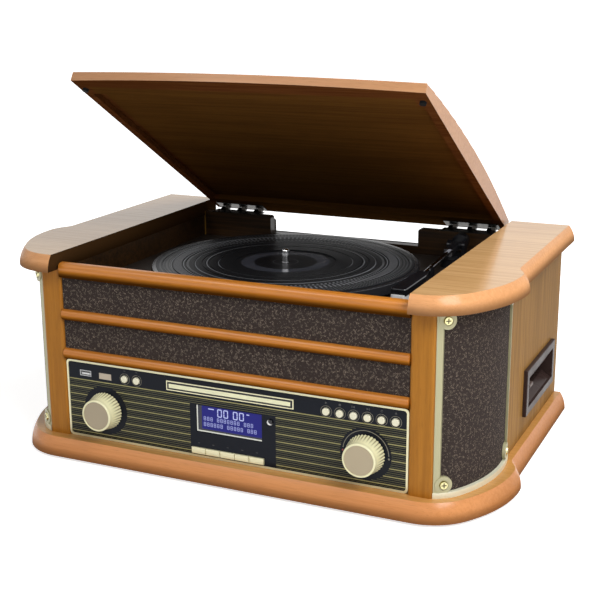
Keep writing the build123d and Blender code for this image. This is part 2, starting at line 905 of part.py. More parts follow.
# Spindle: a pin for the record's hole on top of the thicker shaft that runs in the bearing
spindle_foot = platter_top - label_recess
with BuildPart() as spindle:
    with BuildSketch(Plane.XY.offset(bearing_bottom + seat_gap)):
        with Locations((platter_x, platter_y)):
            Circle(bearing_shaft_radius)
    extrude(amount=spindle_foot - bearing_bottom - seat_gap)
    with BuildSketch(Plane.XY.offset(spindle_foot)):
        with Locations((platter_x, platter_y)):
            Circle(spindle_radius)
    extrude(amount=platter_top + spindle_rise - spindle_foot)
    fillet(spindle.edges().sort_by(Axis.Z)[-1], radius=spindle_dome)
save(spindle, "spindle")

# Drive: the motor hangs under the deck, and its pulley turns the platter through a flat belt
with BuildPart() as drive_motor:
    with BuildSketch(Plane.XY.offset(deck_under - motor_height)):
        with Locations((pulley_x, pulley_y)):
            Circle(motor_radius)
    extrude(amount=motor_height)
    with BuildSketch(Plane.XY.offset(deck_under)):
        with Locations((pulley_x, pulley_y)):
            Circle(motor_neck_radius)
    extrude(amount=deck_thickness)
    with BuildSketch(Plane.XY.offset(deck_top)):
        with Locations((pulley_x, pulley_y)):
            Circle(motor_shaft_radius + shaft_gap)
    extrude(amount=-motor_height, mode=Mode.SUBTRACT)
save(drive_motor, "drive_motor")

with BuildPart() as motor_pulley:
    with BuildSketch(Plane.XY.offset(deck_top + moving_gap)):
        with Locations((pulley_x, pulley_y)):
            Circle(pulley_radius)
    extrude(amount=belt_lift + belt_height)
    with BuildSketch(Plane.XY.offset(deck_top + belt_lift)):
        with Locations((pulley_x, pulley_y)):
            Circle(motor_shaft_radius)
    extrude(amount=seat_gap - motor_height)
save(motor_pulley, "motor_pulley")


def belt_loop(outward):
    """Outline round the drive ring and the pulley, outward from the gap that they turn in."""
    with BuildSketch(Plane.XY.offset(belt_bottom)) as loop:
        with Locations((platter_x, platter_y)):
            Circle(drive_ring_radius + moving_gap + outward)
        with Locations((pulley_x, pulley_y)):
            Circle(pulley_radius + moving_gap + outward)
        make_hull()
    return loop.sketch


with BuildPart() as drive_belt:
    extrude(belt_loop(belt_thickness), belt_height)
    extrude(belt_loop(0), belt_height, mode=Mode.SUBTRACT)
save(drive_belt, "drive_belt")

# Tonearm: a base on the deck, a yoke that swings in it and an arm that tips in the yoke
arm_z = platter_top + arm_axis_rise
arm_base_top = deck_top + arm_base_height
base_x = span(arm_x + arm_base_offset_x, arm_base_width)
base_y = span(arm_y + arm_base_offset_y, arm_base_length)
lever_y = arm_y - lever_setback
lever_z = arm_base_top - lever_drop
with BuildPart() as tonearm_base:
    board(base_x, base_y, (deck_top, arm_base_top))
    fillet(tonearm_base.edges().filter_by(Axis.Z), radius=arm_base_radius)
    chamfer(tonearm_base.faces().sort_by(Axis.Z)[-1].edges(), length=arm_chamfer)
    with BuildSketch(Plane.XY.offset(arm_base_top)):
        with Locations((arm_x, arm_y)):
            Circle(turret_shaft_radius + shaft_gap)
    extrude(amount=seat_gap - arm_base_height, mode=Mode.SUBTRACT)
    with BuildSketch(side_plane(base_x[1])):
        with Locations((lever_y, lever_z)):
            Circle(lever_shaft_radius + shaft_gap)
    extrude(amount=-arm_base_radius, mode=Mode.SUBTRACT)
save(tonearm_base, "tonearm_base")

yoke_gap_x = arm_hub_width / 2 + moving_gap
yoke_outer_x = yoke_gap_x + yoke_ear_thickness
flange_bottom = arm_base_top + moving_gap
shaft_bottom = deck_top + 2 * seat_gap
with BuildPart() as tonearm_yoke:
    with BuildSketch(Plane.XY.offset(shaft_bottom)):
        with Locations((arm_x, arm_y)):
            Circle(turret_shaft_radius)
    extrude(amount=flange_bottom - shaft_bottom)
    with BuildSketch(Plane.XY.offset(flange_bottom)):
        with Locations((arm_x, arm_y)):
            Circle(turret_radius)
    extrude(amount=turret_flange)
    for sign in (-1, 1):
        board(
            span(arm_x + sign * (yoke_gap_x + yoke_ear_thickness / 2), yoke_ear_thickness),
            span(arm_y, yoke_ear_length),
            (flange_bottom + turret_flange / 2, arm_z + yoke_ear_length / 2),
        )
    crown_edges = tonearm_yoke.edges().filter_by(Axis.X).group_by(Axis.Z)[-1]
    fillet(crown_edges, radius=yoke_ear_length / 2 - seat_gap)
    with BuildSketch(side_plane(arm_x + yoke_outer_x)):
        with Locations((arm_y, arm_z)):
            Circle(arm_pin_radius + shaft_gap)
    extrude(amount=-2 * yoke_outer_x, mode=Mode.SUBTRACT)
save(tonearm_yoke, "tonearm_yoke")

bend = Vector(arm_x + arm_bend_offset, panel_y + arm_bend_depth, arm_z)
pivot = Vector(arm_x, arm_y, arm_z)
arm_direction = (bend - pivot).normalized()
arm_length = (bend - pivot).length
arm_plane = Plane(origin=pivot, x_dir=(0, 0, 1), z_dir=arm_direction)
arm_block_length = arm_block_tail + arm_block_reach
with BuildPart() as tonearm:
    with BuildSketch(arm_plane.offset(-arm_block_tail)):
        RectangleRounded(arm_block_height, arm_block_width, arm_block_radius)
    extrude(amount=arm_block_length)
    with BuildSketch(arm_plane):
        Circle(arm_tube_radius)
    extrude(amount=arm_length + headshell_root_length - headshell_wall)
    with BuildSketch(arm_plane.offset(-arm_block_tail)):
        Circle(counterweight_radius)
    extrude(amount=-counterweight_length)
    chamfer(tonearm.faces().sort_by(Axis.Y)[-1].edges(), length=arm_chamfer)
    with BuildSketch(side_plane(arm_x - arm_hub_width / 2)):
        with Locations((arm_y, arm_z)):
            Circle(arm_block_height / 2 - seat_gap)
    extrude(amount=arm_hub_width)
    with BuildSketch(side_plane(arm_x - yoke_outer_x)):
        with Locations((arm_y, arm_z)):
            Circle(arm_pin_radius)
    extrude(amount=2 * yoke_outer_x)
save(tonearm, "tonearm")

# Headshell: a tapered channel, open below, with a solid root round the end of the tube
headshell_y = panel_y + headshell_front_depth
taper_y = bend.Y - headshell_taper_length
shell_half = headshell_width / 2
root_half = headshell_root_width / 2
shell_top = arm_z + headshell_height / 2
shell_bottom = arm_z - headshell_height / 2
with BuildPart() as headshell:
    with BuildSketch(Plane.XY.offset(shell_bottom)):
        with BuildLine():
            Polyline(
                (bend.X - shell_half, headshell_y),
                (bend.X + shell_half, headshell_y),
                (bend.X + shell_half, taper_y),
                (bend.X + root_half, bend.Y),
                (bend.X - root_half, bend.Y),
                (bend.X - shell_half, taper_y),
                close=True,
            )
        make_face()
    extrude(amount=headshell_height)
    fillet(headshell.edges().filter_by(Axis.Z).group_by(Axis.Y)[0], radius=2 * headshell_wall)
    chamfer(headshell.faces().sort_by(Axis.Z)[-1].edges(), length=headshell_wall / 2)
    board(
        span(bend.X, headshell_root_width - 2 * headshell_wall),
        (taper_y - 2 * headshell_wall, bend.Y - headshell_root_length),
        (shell_bottom, shell_top - headshell_wall),
        mode=Mode.SUBTRACT,
    )
    board(
        span(bend.X, headshell_width - 2 * headshell_wall),
        (headshell_y + 2 * headshell_wall, taper_y - headshell_wall),
        (shell_bottom, shell_top - headshell_wall),
        mode=Mode.SUBTRACT,
    )
    with BuildSketch(arm_plane.offset(arm_length - headshell_wall)):
        Circle(arm_tube_radius + shaft_gap)
    extrude(amount=headshell_root_length + headshell_wall, mode=Mode.SUBTRACT)
save(headshell, "headshell")

# Cartridge: a block in the headshell with a wedge for the stylus
cartridge_y = headshell_y + 2 * headshell_wall + seat_gap
cartridge_bottom = shell_bottom - cartridge_drop
stylus_y = panel_y + stylus_depth
stylus_tip = platter_top + stylus_gap
with BuildPart() as cartridge:
    board(
        span(bend.X, cartridge_width),
        (cartridge_y, cartridge_y + cartridge_length),
        (cartridge_bottom, shell_top - headshell_wall),
    )
    with BuildSketch(side_plane(bend.X - cartridge_width / 4)):
        with BuildLine():
            Polyline(
                (stylus_y - stylus_length / 6, cartridge_bottom),
                (stylus_y, stylus_tip),
                (stylus_y + stylus_length / 10, stylus_tip),
                (stylus_y + stylus_length, cartridge_bottom),
                close=True,
            )
        make_face()
    extrude(amount=cartridge_width / 2)
save(cartridge, "cartridge")

# Stylus guard: a white clip in front of the stylus and along both its sides
guard_front_y = headshell_y - guard_wall - seat_gap
guard_back_y = guard_front_y + guard_length
guard_top = shell_bottom + guard_wall
with BuildPart() as stylus_guard:
    board(span(bend.X, headshell_width), (guard_front_y, guard_back_y), (stylus_tip, guard_top))
    guard_corners = stylus_guard.edges().filter_by(Axis.Z).group_by(Axis.Y)[0]
    fillet(guard_corners, radius=guard_corner_radius)
    board(
        span(bend.X, headshell_width),
        (headshell_y - seat_gap, guard_back_y),
        (shell_bottom - seat_gap, guard_top),
        mode=Mode.SUBTRACT,
    )
    board(
        span(bend.X, cartridge_width + 2 * seat_gap),
        (headshell_y + guard_wall, guard_back_y),
        (stylus_tip, shell_bottom),
        mode=Mode.SUBTRACT,
    )
save(stylus_guard, "stylus_guard")

# Arm rest: a low cradle with a fence on the outer side, open towards the platter
rest_middle_y = panel_y + rest_depth
rest_x = arm_x + arm_bend_offset * (arm_y - rest_middle_y) / (arm_y - bend.Y)
rest_y = span(rest_middle_y, rest_width)
cradle_top = arm_z - arm_tube_radius - moving_gap
fence_x = rest_x + arm_tube_radius + 2 * moving_gap
with BuildPart() as arm_rest:
    board((rest_x - rest_wall, fence_x + rest_wall), rest_y, (deck_top, cradle_top))
    board((fence_x, fence_x + rest_wall), rest_y, (deck_top, cradle_top + rest_fence))
    fillet(arm_rest.edges().filter_by(Axis.Z), radius=rest_wall / 3)
save(arm_rest, "arm_rest")

with BuildPart() as cue_lever:
    with BuildSketch(side_plane(base_x[1] - arm_base_radius + seat_gap)):
        with Locations((lever_y, lever_z)):
            Circle(lever_shaft_radius)
    extrude(amount=arm_base_radius + moving_gap)
    with BuildSketch(side_plane(base_x[1] + moving_gap)):
        with Locations((lever_y, lever_z)):
            Circle(2 * lever_shaft_radius)
        with Locations((lever_y - lever_length, lever_z + lever_rise)):
            Circle(lever_shaft_radius)
        make_hull()
    extrude(amount=lever_width)
    board(
        (base_x[1] + moving_gap, base_x[1] + moving_gap + 2 * lever_width),
        span(lever_y - lever_length, 4 * lever_shaft_radius),
        span(lever_z + lever_rise, 2 * lever_shaft_radius),
    )
save(cue_lever, "cue_lever")

with BuildPart() as speed_switch:
    board(
        span(speed_switch_x, speed_switch_width),
        span(switch_y, speed_switch_length),
        (deck_top + moving_gap, deck_top + moving_gap + speed_switch_height),
    )
    fillet(speed_switch.edges().filter_by(Axis.Z), radius=speed_switch_width / 5)
    with BuildSketch(Plane.XY.offset(deck_under)):
        with Locations((speed_switch_x, switch_y)):
            Circle(speed_switch_stem_radius)
    extrude(amount=deck_thickness + moving_gap)
save(speed_switch, "speed_switch")

# Lid: a board that is bowed in front and arched from front to back, with a framed recess below
lid_frame = Plane(origin=(0, hinge_y, hinge_z), x_dir=(1, 0, 0), z_dir=(0, sin(tilt), cos(tilt)))
lid_back_y = lid_rear_overhang
lid_front_y = lid_back_y - lid_length
lid_nose_y = lid_front_y - lid_bow
arch_start = (0, 0, lid_under)
arch_plane = Plane(lid_frame.location * Location(arch_start) * Plane.YZ.location)
with BuildPart() as lid:
    with BuildSketch(lid_frame.offset(lid_under)):
        with BuildLine():
            Polyline(
                (-lid_half_width, lid_front_y),
                (-lid_half_width, lid_back_y),
                (lid_half_width, lid_back_y),
                (lid_half_width, lid_front_y),
            )
            ThreePointArc(
                (lid_half_width, lid_front_y),
                (0, lid_nose_y),
                (-lid_half_width, lid_front_y),
            )
        make_face()
    extrude(amount=lid_crown_height)
    with BuildSketch(arch_plane):
        with BuildLine():
            Polyline(
                (lid_nose_y, lid_front_height),
                (lid_nose_y, 0),
                (lid_back_y, 0),
                (lid_back_y, lid_rear_height),
            )
            ThreePointArc(
                (lid_back_y, lid_rear_height),
                ((lid_nose_y + lid_back_y) / 2, lid_crown_height),
                (lid_nose_y, lid_front_height),
            )
        make_face()
    extrude(amount=lid_half_width, both=True, mode=Mode.INTERSECT)
    arched_face = lid.faces().filter_by(GeomType.CYLINDER).sort_by(SortBy.AREA)[-1]
    fillet(arched_face.edges(), radius=lid_edge_radius)
    with BuildSketch(lid_frame.offset(lid_under)):
        recess_y = (lid_front_y + lid_front_rail, lid_back_y - lid_rear_rail)
        with Locations((0, sum(recess_y) / 2)):
            Rectangle(2 * (lid_half_width - lid_side_rail), recess_y[1] - recess_y[0])
    extrude(amount=lid_recess, mode=Mode.SUBTRACT)
save(lid, "lid")

with BuildPart() as lid_bumpers:
    bumper_x = lid_half_width - bumper_side_inset
    bumper_y = rail_front_y + top_rail_depth - bumper_radius - bumper_margin - hinge_y
    with BuildSketch(lid_frame.offset(lid_under)):
        with Locations((-bumper_x, bumper_y), (bumper_x, bumper_y)):
            Circle(bumper_radius)
    extrude(amount=-(hinge_z + lid_under - top_rail_top - seat_gap))
save(lid_bumpers, "lid_bumpers")


# Hinges: flat leaves on the back board and the lid, with three knuckle pairs on short pins
def knuckle(x, turn, flap_y, flap_z, flap_length):
    """Side view of a barrel on the hinge axis drawn out to its leaf, turned back by an angle."""
    along = (0, cos(turn), -sin(turn))
    with BuildSketch(Plane(origin=(x, hinge_y, hinge_z), x_dir=along, z_dir=(1, 0, 0))) as outline:
        Circle(knuckle_radius)
        with Locations((flap_y, flap_z)):
            Rectangle(flap_length, hinge_leaf)
        make_hull()
    return outline.sketch


hinge_centre_x = lid_half_width - hinge_centre_inset
pair_centres = [
    side * hinge_centre_x + step * knuckle_pitch for side in (-1, 1) for step in (-1, 0, 1)
]
fixed_leaf_y = (back_board_y + seat_gap, hinge_y - knuckle_radius - 2 * moving_gap)
with BuildPart() as hinge_fixed_leaves:
    fixed_flap = 2 * knuckle_radius
    for side in (-1, 1):
        board(
            span(side * hinge_centre_x, hinge_length),
            fixed_leaf_y,
            (back_board_top, back_board_top + hinge_leaf),
        )
    for x in pair_centres:
        flap_y = fixed_leaf_y[1] - hinge_y - fixed_flap / 2
        flap_z = hinge_leaf / 2 - knuckle_lift
        pair_face_x = x - moving_gap / 2
        extrude(knuckle(pair_face_x, 0, flap_y, flap_z, fixed_flap), -knuckle_length)
        with BuildSketch(side_plane(pair_face_x - knuckle_length)):
            with Locations((hinge_y, hinge_z)):
                Circle(hinge_pin_radius)
        extrude(amount=2 * knuckle_length + moving_gap)
save(hinge_fixed_leaves, "hinge_fixed_leaves")

with BuildPart() as hinge_lid_leaves:
    lid_flap = 3 * knuckle_radius
    leaf_middle_y = (lid_flap - hinge_lid_reach) / 2
    with BuildSketch(lid_frame.offset(lid_under - hinge_leaf)):
        with Locations((-hinge_centre_x, leaf_middle_y), (hinge_centre_x, leaf_middle_y)):
            Rectangle(hinge_length, hinge_lid_reach)
    extrude(amount=hinge_leaf)
    for x in pair_centres:
        pair_face_x = x + moving_gap / 2
        flap_z = lid_under - hinge_leaf / 2
        extrude(knuckle(pair_face_x, tilt, 0, flap_z, lid_flap), knuckle_length)
        with BuildSketch(side_plane(pair_face_x)):
            with Locations((hinge_y, hinge_z)):
                Circle(hinge_pin_radius + shaft_gap)
        extrude(amount=knuckle_length, mode=Mode.SUBTRACT)
save(hinge_lid_leaves, "hinge_lid_leaves")

# Control panel: one moulded plate with an opening for everything that is set in it
panel_z = (plinth_top + seat_gap, lower_rail_bottom - seat_gap)
panel_size = (2 * rail_half_length, panel_z[1] - panel_z[0])
panel_centre = (0, sum(panel_z) / 2)
panel_back = panel_y + panel_thickness
board_y = panel_y + board_setback
tray_level = lower_rail_bottom - tray_drop
knob_level = plinth_top + knob_z
key_level = plinth_top + key_z
key_width = key_pitch - key_gap
knob_places = {
    "left_knob": left_knob_inset - rail_half_length,
    "right_knob": rail_half_length - right_knob_inset,
}
source_x = source_inset - rail_half_length
source_level = lower_rail_bottom - source_drop
button_places = {
    "source_button": (source_x, source_level, button_radius),
    "band_button": (source_x + source_pitch, source_level, button_radius),
    "standby_button": (standby_x, plinth_top + standby_z, standby_radius),
}
for index, name in enumerate(("play", "stop", "previous", "next", "repeat", "eject")):
    place_x = rail_half_length - player_inset + index * player_pitch
    place = (place_x, lower_rail_bottom - player_drop, button_radius)
    button_places[f"{name}_button"] = place
key_names = ("menu_key", "info_key", "scan_key", "preset_key", "select_key")
key_places = {name: key_x + index * key_pitch for index, name in enumerate(key_names)}
keys_middle = (key_x + key_pitch * (len(key_names) - 1) / 2, key_level)
keys_size = (len(key_names) * key_pitch - key_gap, key_height)
keys_opening = [size + 2 * moving_gap for size in keys_size]
tray_opening = (tray_door_width + 2 * moving_gap, tray_door_height + 2 * moving_gap)
remote_centre = (remote_inset - rail_half_length, lower_rail_bottom - remote_drop)
usb_centre = (usb_inset - rail_half_length, lower_rail_bottom - usb_drop)
set_in = {
    "display": ((display_x, plinth_top + display_z), (display_width, display_height)),
    "remote": (remote_centre, (remote_width, remote_height)),
    "usb": (usb_centre, (usb_width, usb_height)),
}

with BuildPart() as control_panel:
    with BuildSketch(front_plane(panel_back)):
        with Locations(panel_centre):
            RectangleRounded(*panel_size, panel_corner_radius)
        for x, z, radius in button_places.values():
            with Locations((x, z)):
                Circle(radius + moving_gap, mode=Mode.SUBTRACT)
        for x in knob_places.values():
            with Locations((x, knob_level)):
                Circle(knob_shaft_radius + moving_gap, mode=Mode.SUBTRACT)
        with Locations(keys_middle):
            Rectangle(*keys_opening, mode=Mode.SUBTRACT)
        with Locations((tray_x, tray_level)):
            Rectangle(*tray_opening, mode=Mode.SUBTRACT)
        for centre, size in set_in.values():
            with Locations(centre):
                Rectangle(*size, mode=Mode.SUBTRACT)
    extrude(amount=panel_thickness)
save(control_panel, "control_panel")

with BuildPart() as panel_trim:
    with BuildSketch(front_plane(panel_y)):
        with Locations(panel_centre):
            RectangleRounded(*panel_size, panel_corner_radius)
            RectangleRounded(
                *[size - 2 * trim_width for size in panel_size],
                trim_corner_radius,
                mode=Mode.SUBTRACT,
            )
        with Locations((tray_x, tray_level)):
            Rectangle(*[size + 2 * tray_frame_width for size in tray_opening])
            Rectangle(*tray_opening, mode=Mode.SUBTRACT)
    extrude(amount=trim_rise)
save(panel_trim, "panel_trim")

with BuildPart() as panel_windows:
    for name, forward in (("display", board_setback - display_sink), ("remote", board_setback)):
        centre, size = set_in[name]
        with BuildSketch(front_plane(board_y)):
            with Locations(centre):
                Rectangle(*[side - seat_gap for side in size])
        extrude(amount=forward)
save(panel_windows, "panel_windows")

with BuildPart() as usb_socket:
    centre, size = set_in["usb"]
    with BuildSketch(front_plane(board_y)):
        with Locations(centre):
            Rectangle(*[side - seat_gap for side in size])
    extrude(amount=board_setback)
    with BuildSketch(front_plane(panel_y)):
        with Locations(centre):
            Rectangle(*[side - seat_gap - 2 * usb_wall for side in size])
    extrude(amount=-usb_depth, mode=Mode.SUBTRACT)
save(usb_socket, "usb_socket")

# Push buttons: a cap in its hole, a collar behind the panel and a stem that meets its switch
collar_y = panel_back + moving_gap
collar_back_y = collar_y + collar_thickness
switch_front_y = board_y - switch_depth
stem_end_y = switch_front_y - button_travel - moving_gap


def push_button(x, z, radius):
    with BuildPart() as button:
        with BuildSketch(front_plane(collar_y)):
            with Locations((x, z)):
                Circle(radius)
        extrude(amount=collar_y - panel_y + button_proud)
        fillet(button.edges().sort_by(Axis.Y)[0], radius=button_proud / 2)
        with BuildSketch(front_plane(collar_back_y)):
            with Locations((x, z)):
                Circle(radius + button_collar)
        extrude(amount=collar_thickness)
        with BuildSketch(front_plane(stem_end_y)):
            with Locations((x, z)):
                Circle(button_stem_radius)
        extrude(amount=stem_end_y - collar_back_y)
    return button


for name, (x, z, radius) in button_places.items():
    save(push_button(x, z, radius), name)


def flat_key(x):
    key_x_span = span(x, key_width)
    with BuildPart() as key:
        board(key_x_span, (panel_y - key_proud, collar_y), span(key_level, key_height))
        fillet(key.faces().sort_by(Axis.Y)[0].edges(), radius=key_proud / 4)
        board(
            key_x_span,
            (collar_y, collar_back_y),
            span(key_level, key_height + 2 * button_collar),
        )
        with BuildSketch(front_plane(stem_end_y)):
            with Locations((x, key_level)):
                Circle(button_stem_radius)
        extrude(amount=stem_end_y - collar_back_y)
    return key


for name, x in key_places.items():
    save(flat_key(x), name)

# Knobs: flutes that die away towards a smooth ring, with a sunk face and a shaft behind
knob_base_y = panel_y - trim_rise - moving_gap
knob_face_y = panel_y - knob_proud
knob_ring_y = knob_face_y + knob_ring_depth
shaft_end_y = board_y - board_thickness


def fluted_ring(y, x, z, crest_radius, root_radius):
    """Outline that goes in and out between two radii all the way round."""
    points = []
    for index in range(2 * knob_flutes):
        radius = crest_radius if index % 2 == 0 else root_radius
        angle = pi * index / knob_flutes
        points.append((x + radius * cos(angle), z + radius * sin(angle)))
    with BuildSketch(front_plane(y)) as outline:
        with BuildLine():
            Polyline(*points, close=True)
        make_face()
    return outline.sketch


def fluted_knob(x, z):
    root_radius = knob_base_radius - knob_flute_depth
    with BuildPart() as knob:
        wide_end = fluted_ring(knob_base_y, x, z, knob_base_radius, root_radius)
        smooth_end = fluted_ring(knob_ring_y, x, z, knob_ring_radius, knob_ring_radius)
        loft([wide_end.face(), smooth_end.face()], ruled=True)
        with BuildSketch(front_plane(knob_ring_y)):
            with Locations((x, z)):
                Circle(knob_ring_radius)
        extrude(amount=knob_ring_depth)
        fillet(knob.edges().sort_by(Axis.Y)[0], radius=knob_edge_radius)
        with BuildSketch(front_plane(knob_face_y)):
            with Locations((x, z)):
                Circle(knob_ring_radius - knob_rim_width)
        extrude(amount=-knob_recess, mode=Mode.SUBTRACT)
        with BuildSketch(front_plane(shaft_end_y)):
            with Locations((x, z)):
                Circle(knob_shaft_radius)
        extrude(amount=shaft_end_y - knob_base_y)
    return knob


for name, x in knob_places.items():
    save(fluted_knob(x, knob_level), name)

# Disc drive: a tray behind its door, in a mechanism that stands on the plinth
tray_front_y = panel_y - tray_door_proud
tray_plate_y = tray_front_y + tray_door_thickness
tray_top = tray_level + tray_thickness / 2
disc_place = (tray_x, tray_plate_y + disc_margin + disc_radius)
with BuildPart() as cd_tray:
    board(
        span(tray_x, tray_door_width),
        (tray_front_y, tray_plate_y),
        span(tray_level, tray_door_height),
    )
    fillet(cd_tray.faces().sort_by(Axis.Y)[0].edges(), radius=tray_door_proud / 2)
    board(
        span(tray_x, tray_width),
        (tray_plate_y, tray_plate_y + tray_length),
        span(tray_level, tray_thickness),
    )
    for radius, depth in ((disc_radius, disc_recess), (small_disc_radius, 2 * disc_recess)):
        with BuildSketch(Plane.XY.offset(tray_top)):
            with Locations(disc_place):
                Circle(radius)
        extrude(amount=-depth, mode=Mode.SUBTRACT)
    with BuildSketch(Plane.XY.offset(tray_top)):
        with Locations((tray_x, disc_place[1] + small_disc_radius / 2)):
            SlotCenterToCenter(small_disc_radius, disc_slot_width, rotation=90)
    extrude(amount=-tray_thickness, mode=Mode.SUBTRACT)
save(cd_tray, "cd_tray")

mechanism_width = tray_width + 2 * moving_gap + 2 * mechanism_wall
mechanism_bottom = tray_level - mechanism_height / 2
mechanism_y = (
    panel_back + mechanism_setback,
    panel_back + mechanism_setback + mechanism_depth,
)
with BuildPart() as cd_mechanism:
    board(span(tray_x, mechanism_width), mechanism_y, span(tray_level, mechanism_height))
    board(
        span(tray_x, tray_width + 2 * moving_gap),
        (mechanism_y[0], mechanism_y[1] - mechanism_wall),
        span(tray_level, tray_thickness + 2 * moving_gap),
        mode=Mode.SUBTRACT,
    )
    for leg_x in span(tray_x, mechanism_width - mechanism_leg):
        for leg_y in (board_y + 2 * mechanism_leg, mechanism_y[1] - mechanism_leg / 2):
            board(
                span(leg_x, mechanism_leg),
                span(leg_y, mechanism_leg),
                (plinth_top, mechanism_bottom),
            )
save(cd_mechanism, "cd_mechanism")

# Circuit boards: one behind the panel with switches and encoders, one on the plinth with the
# mains transformer
board_span_y = (board_y, board_y + board_thickness)
board_half = rail_half_length - switch_size
board_notch = mechanism_width / 2 + 2 * moving_gap
board_z = (key_level - key_height, mechanism_bottom - 2 * moving_gap, lower_rail_bottom - switch_size)
main_board_y = span(back_face_y - seat_gap - switch_size - main_board_length / 2, main_board_length)
main_board_z = plinth_top + main_board_height
with BuildPart() as circuit_boards:
    board((-board_half, board_half), board_span_y, (board_z[0], board_z[1]))
    board((-board_half, tray_x - board_notch), board_span_y, (board_z[1], board_z[2]))
    board((tray_x + board_notch, board_half), board_span_y, (board_z[1], board_z[2]))
    switch_places = [(x, z) for x, z, radius in button_places.values()]
    switch_places += [(x, key_level) for x in key_places.values()]
    for x, z in switch_places:
        board(span(x, switch_size), (switch_front_y, board_y), span(z, switch_size))
    for x in knob_places.values():
        with BuildSketch(front_plane(board_y)):
            with Locations((x, knob_level)):
                Circle(encoder_radius)
                Circle(knob_shaft_radius + shaft_gap, mode=Mode.SUBTRACT)
        extrude(amount=board_y - panel_back - seat_gap)
    board(
        span(main_board_x, main_board_width),
        main_board_y,
        (main_board_z, main_board_z + board_thickness),
    )
    for leg_x in span(main_board_x, main_board_width - switch_size):
        for leg_y in span(sum(main_board_y) / 2, main_board_length - switch_size):
            board(
                span(leg_x, switch_size),
                span(leg_y, switch_size),
                (plinth_top, main_board_z),
            )
    board(
        span(main_board_x, transformer_width),
        span(sum(main_board_y) / 2, transformer_length),
        (main_board_z, main_board_z + transformer_height),
    )
save(circuit_boards, "circuit_boards")

# Cassette slot: a stepped bezel whose neck goes through the side panel to the tape deck
bezel_face_x = side_face_x + bezel_proud
mouth_y = (bezel_y[0] + mouth_margin, bezel_y[1] - mouth_margin)
mouth_z = (bezel_z[1] - mouth_top_margin - mouth_height, bezel_z[1] - mouth_top_margin)
eject_y = (mouth_y[0] + moving_gap, mouth_y[0] + moving_gap + eject_key_width)
eject_z = (mouth_z[1] - moving_gap - eject_key_thickness, mouth_z[1] - moving_gap)
eject_x = (bezel_face_x + eject_key_proud - eject_key_length, bezel_face_x + eject_key_proud)
tape_deck_x = (side_face_x - pocket_depth, side_inner_x - seat_gap)


def cassette_mouth():
    """Take the cassette's way in out of the piece being made."""
    board((tape_deck_x[0] + pocket_wall, bezel_face_x), mouth_y, mouth_z, mode=Mode.SUBTRACT)


with BuildPart() as cassette_bezel:
    board((side_face_x, bezel_face_x), bezel_y, bezel_z)
    fillet(cassette_bezel.faces().sort_by(Axis.X)[-1].edges(), radius=bezel_edge_radius)
    board(
        (bezel_face_x - bezel_step, bezel_face_x),
        (bezel_y[0] + bezel_rim, bezel_y[1] - bezel_rim),
        (bezel_z[0] + bezel_rim, bezel_z[1] - bezel_rim),
        mode=Mode.SUBTRACT,
    )
    board((side_inner_x, side_face_x), neck_y, neck_z)
    with BuildSketch(front_plane(mouth_y[1])):
        with BuildLine():
            Polyline(
                (bezel_face_x, mouth_z[0] - guide_height),
                (bezel_face_x - guide_lip, mouth_z[0] - guide_height),
                (bezel_face_x - guide_depth, mouth_z[0]),
                (bezel_face_x - hood_depth, mouth_z[1]),
                (bezel_face_x - bezel_step, mouth_z[1] + hood_height),
                (bezel_face_x, mouth_z[1] + hood_height),
                close=True,
            )
        make_face()
    extrude(amount=mouth_y[1] - mouth_y[0], mode=Mode.SUBTRACT)
    cassette_mouth()
save(cassette_bezel, "cassette_bezel")

with BuildPart() as cassette_deck:
    board(tape_deck_x, neck_y, neck_z)
    cassette_mouth()
save(cassette_deck, "cassette_deck")

with BuildPart() as cassette_key:
    board(eject_x, eject_y, eject_z)
    fillet(cassette_key.faces().sort_by(Axis.X)[-1].edges(), radius=bezel_edge_radius)
save(cassette_key, "cassette_key")
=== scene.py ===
from math import cos, pi, radians, sin

import bmesh
import bpy
from mathutils import Matrix, Vector


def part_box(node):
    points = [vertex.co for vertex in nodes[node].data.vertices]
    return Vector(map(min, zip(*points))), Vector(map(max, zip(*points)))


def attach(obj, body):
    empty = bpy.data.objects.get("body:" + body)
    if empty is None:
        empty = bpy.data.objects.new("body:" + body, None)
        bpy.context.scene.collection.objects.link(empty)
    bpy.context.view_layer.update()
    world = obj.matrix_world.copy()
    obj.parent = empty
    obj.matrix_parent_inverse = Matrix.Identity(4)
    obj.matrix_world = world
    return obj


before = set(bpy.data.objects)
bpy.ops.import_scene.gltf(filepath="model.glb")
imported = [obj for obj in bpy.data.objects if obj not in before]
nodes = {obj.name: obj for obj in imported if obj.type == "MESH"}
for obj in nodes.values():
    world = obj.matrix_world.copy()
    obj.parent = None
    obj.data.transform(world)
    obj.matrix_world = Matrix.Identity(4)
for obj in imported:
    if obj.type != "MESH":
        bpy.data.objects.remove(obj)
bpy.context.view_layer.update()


def box_centre(name):
    low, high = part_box(name)
    return (low + high) / 2


# Camera, solved from the photograph's edges
camera_place = (0.4982, -1.0801, 0.4685)
camera_yaw = radians(24.53)
camera_pitch = radians(15.28)
camera_roll = radians(-0.32)
camera_lens = 70.63
camera_sensor = 36.0

# Room light
surround_light = 0.22
surround_tint = (1.0, 0.99, 0.97)
floor_reach = 60.0
floor_glow = 0.7
floor_fade = (0.35, 0.9)

# Places on the object, in metres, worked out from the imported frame
panel_low, panel_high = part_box("control_panel")
panel_y = panel_low.y
knob_centres = {name: box_centre(name) for name in ("left_knob", "right_knob")}
platter_centre = box_centre("platter")
tray_low, tray_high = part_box("cd_tray")
tray_centre = box_centre("cd_tray")
lid_low, lid_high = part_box("lid")
liner_low, liner_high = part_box("well_liners")

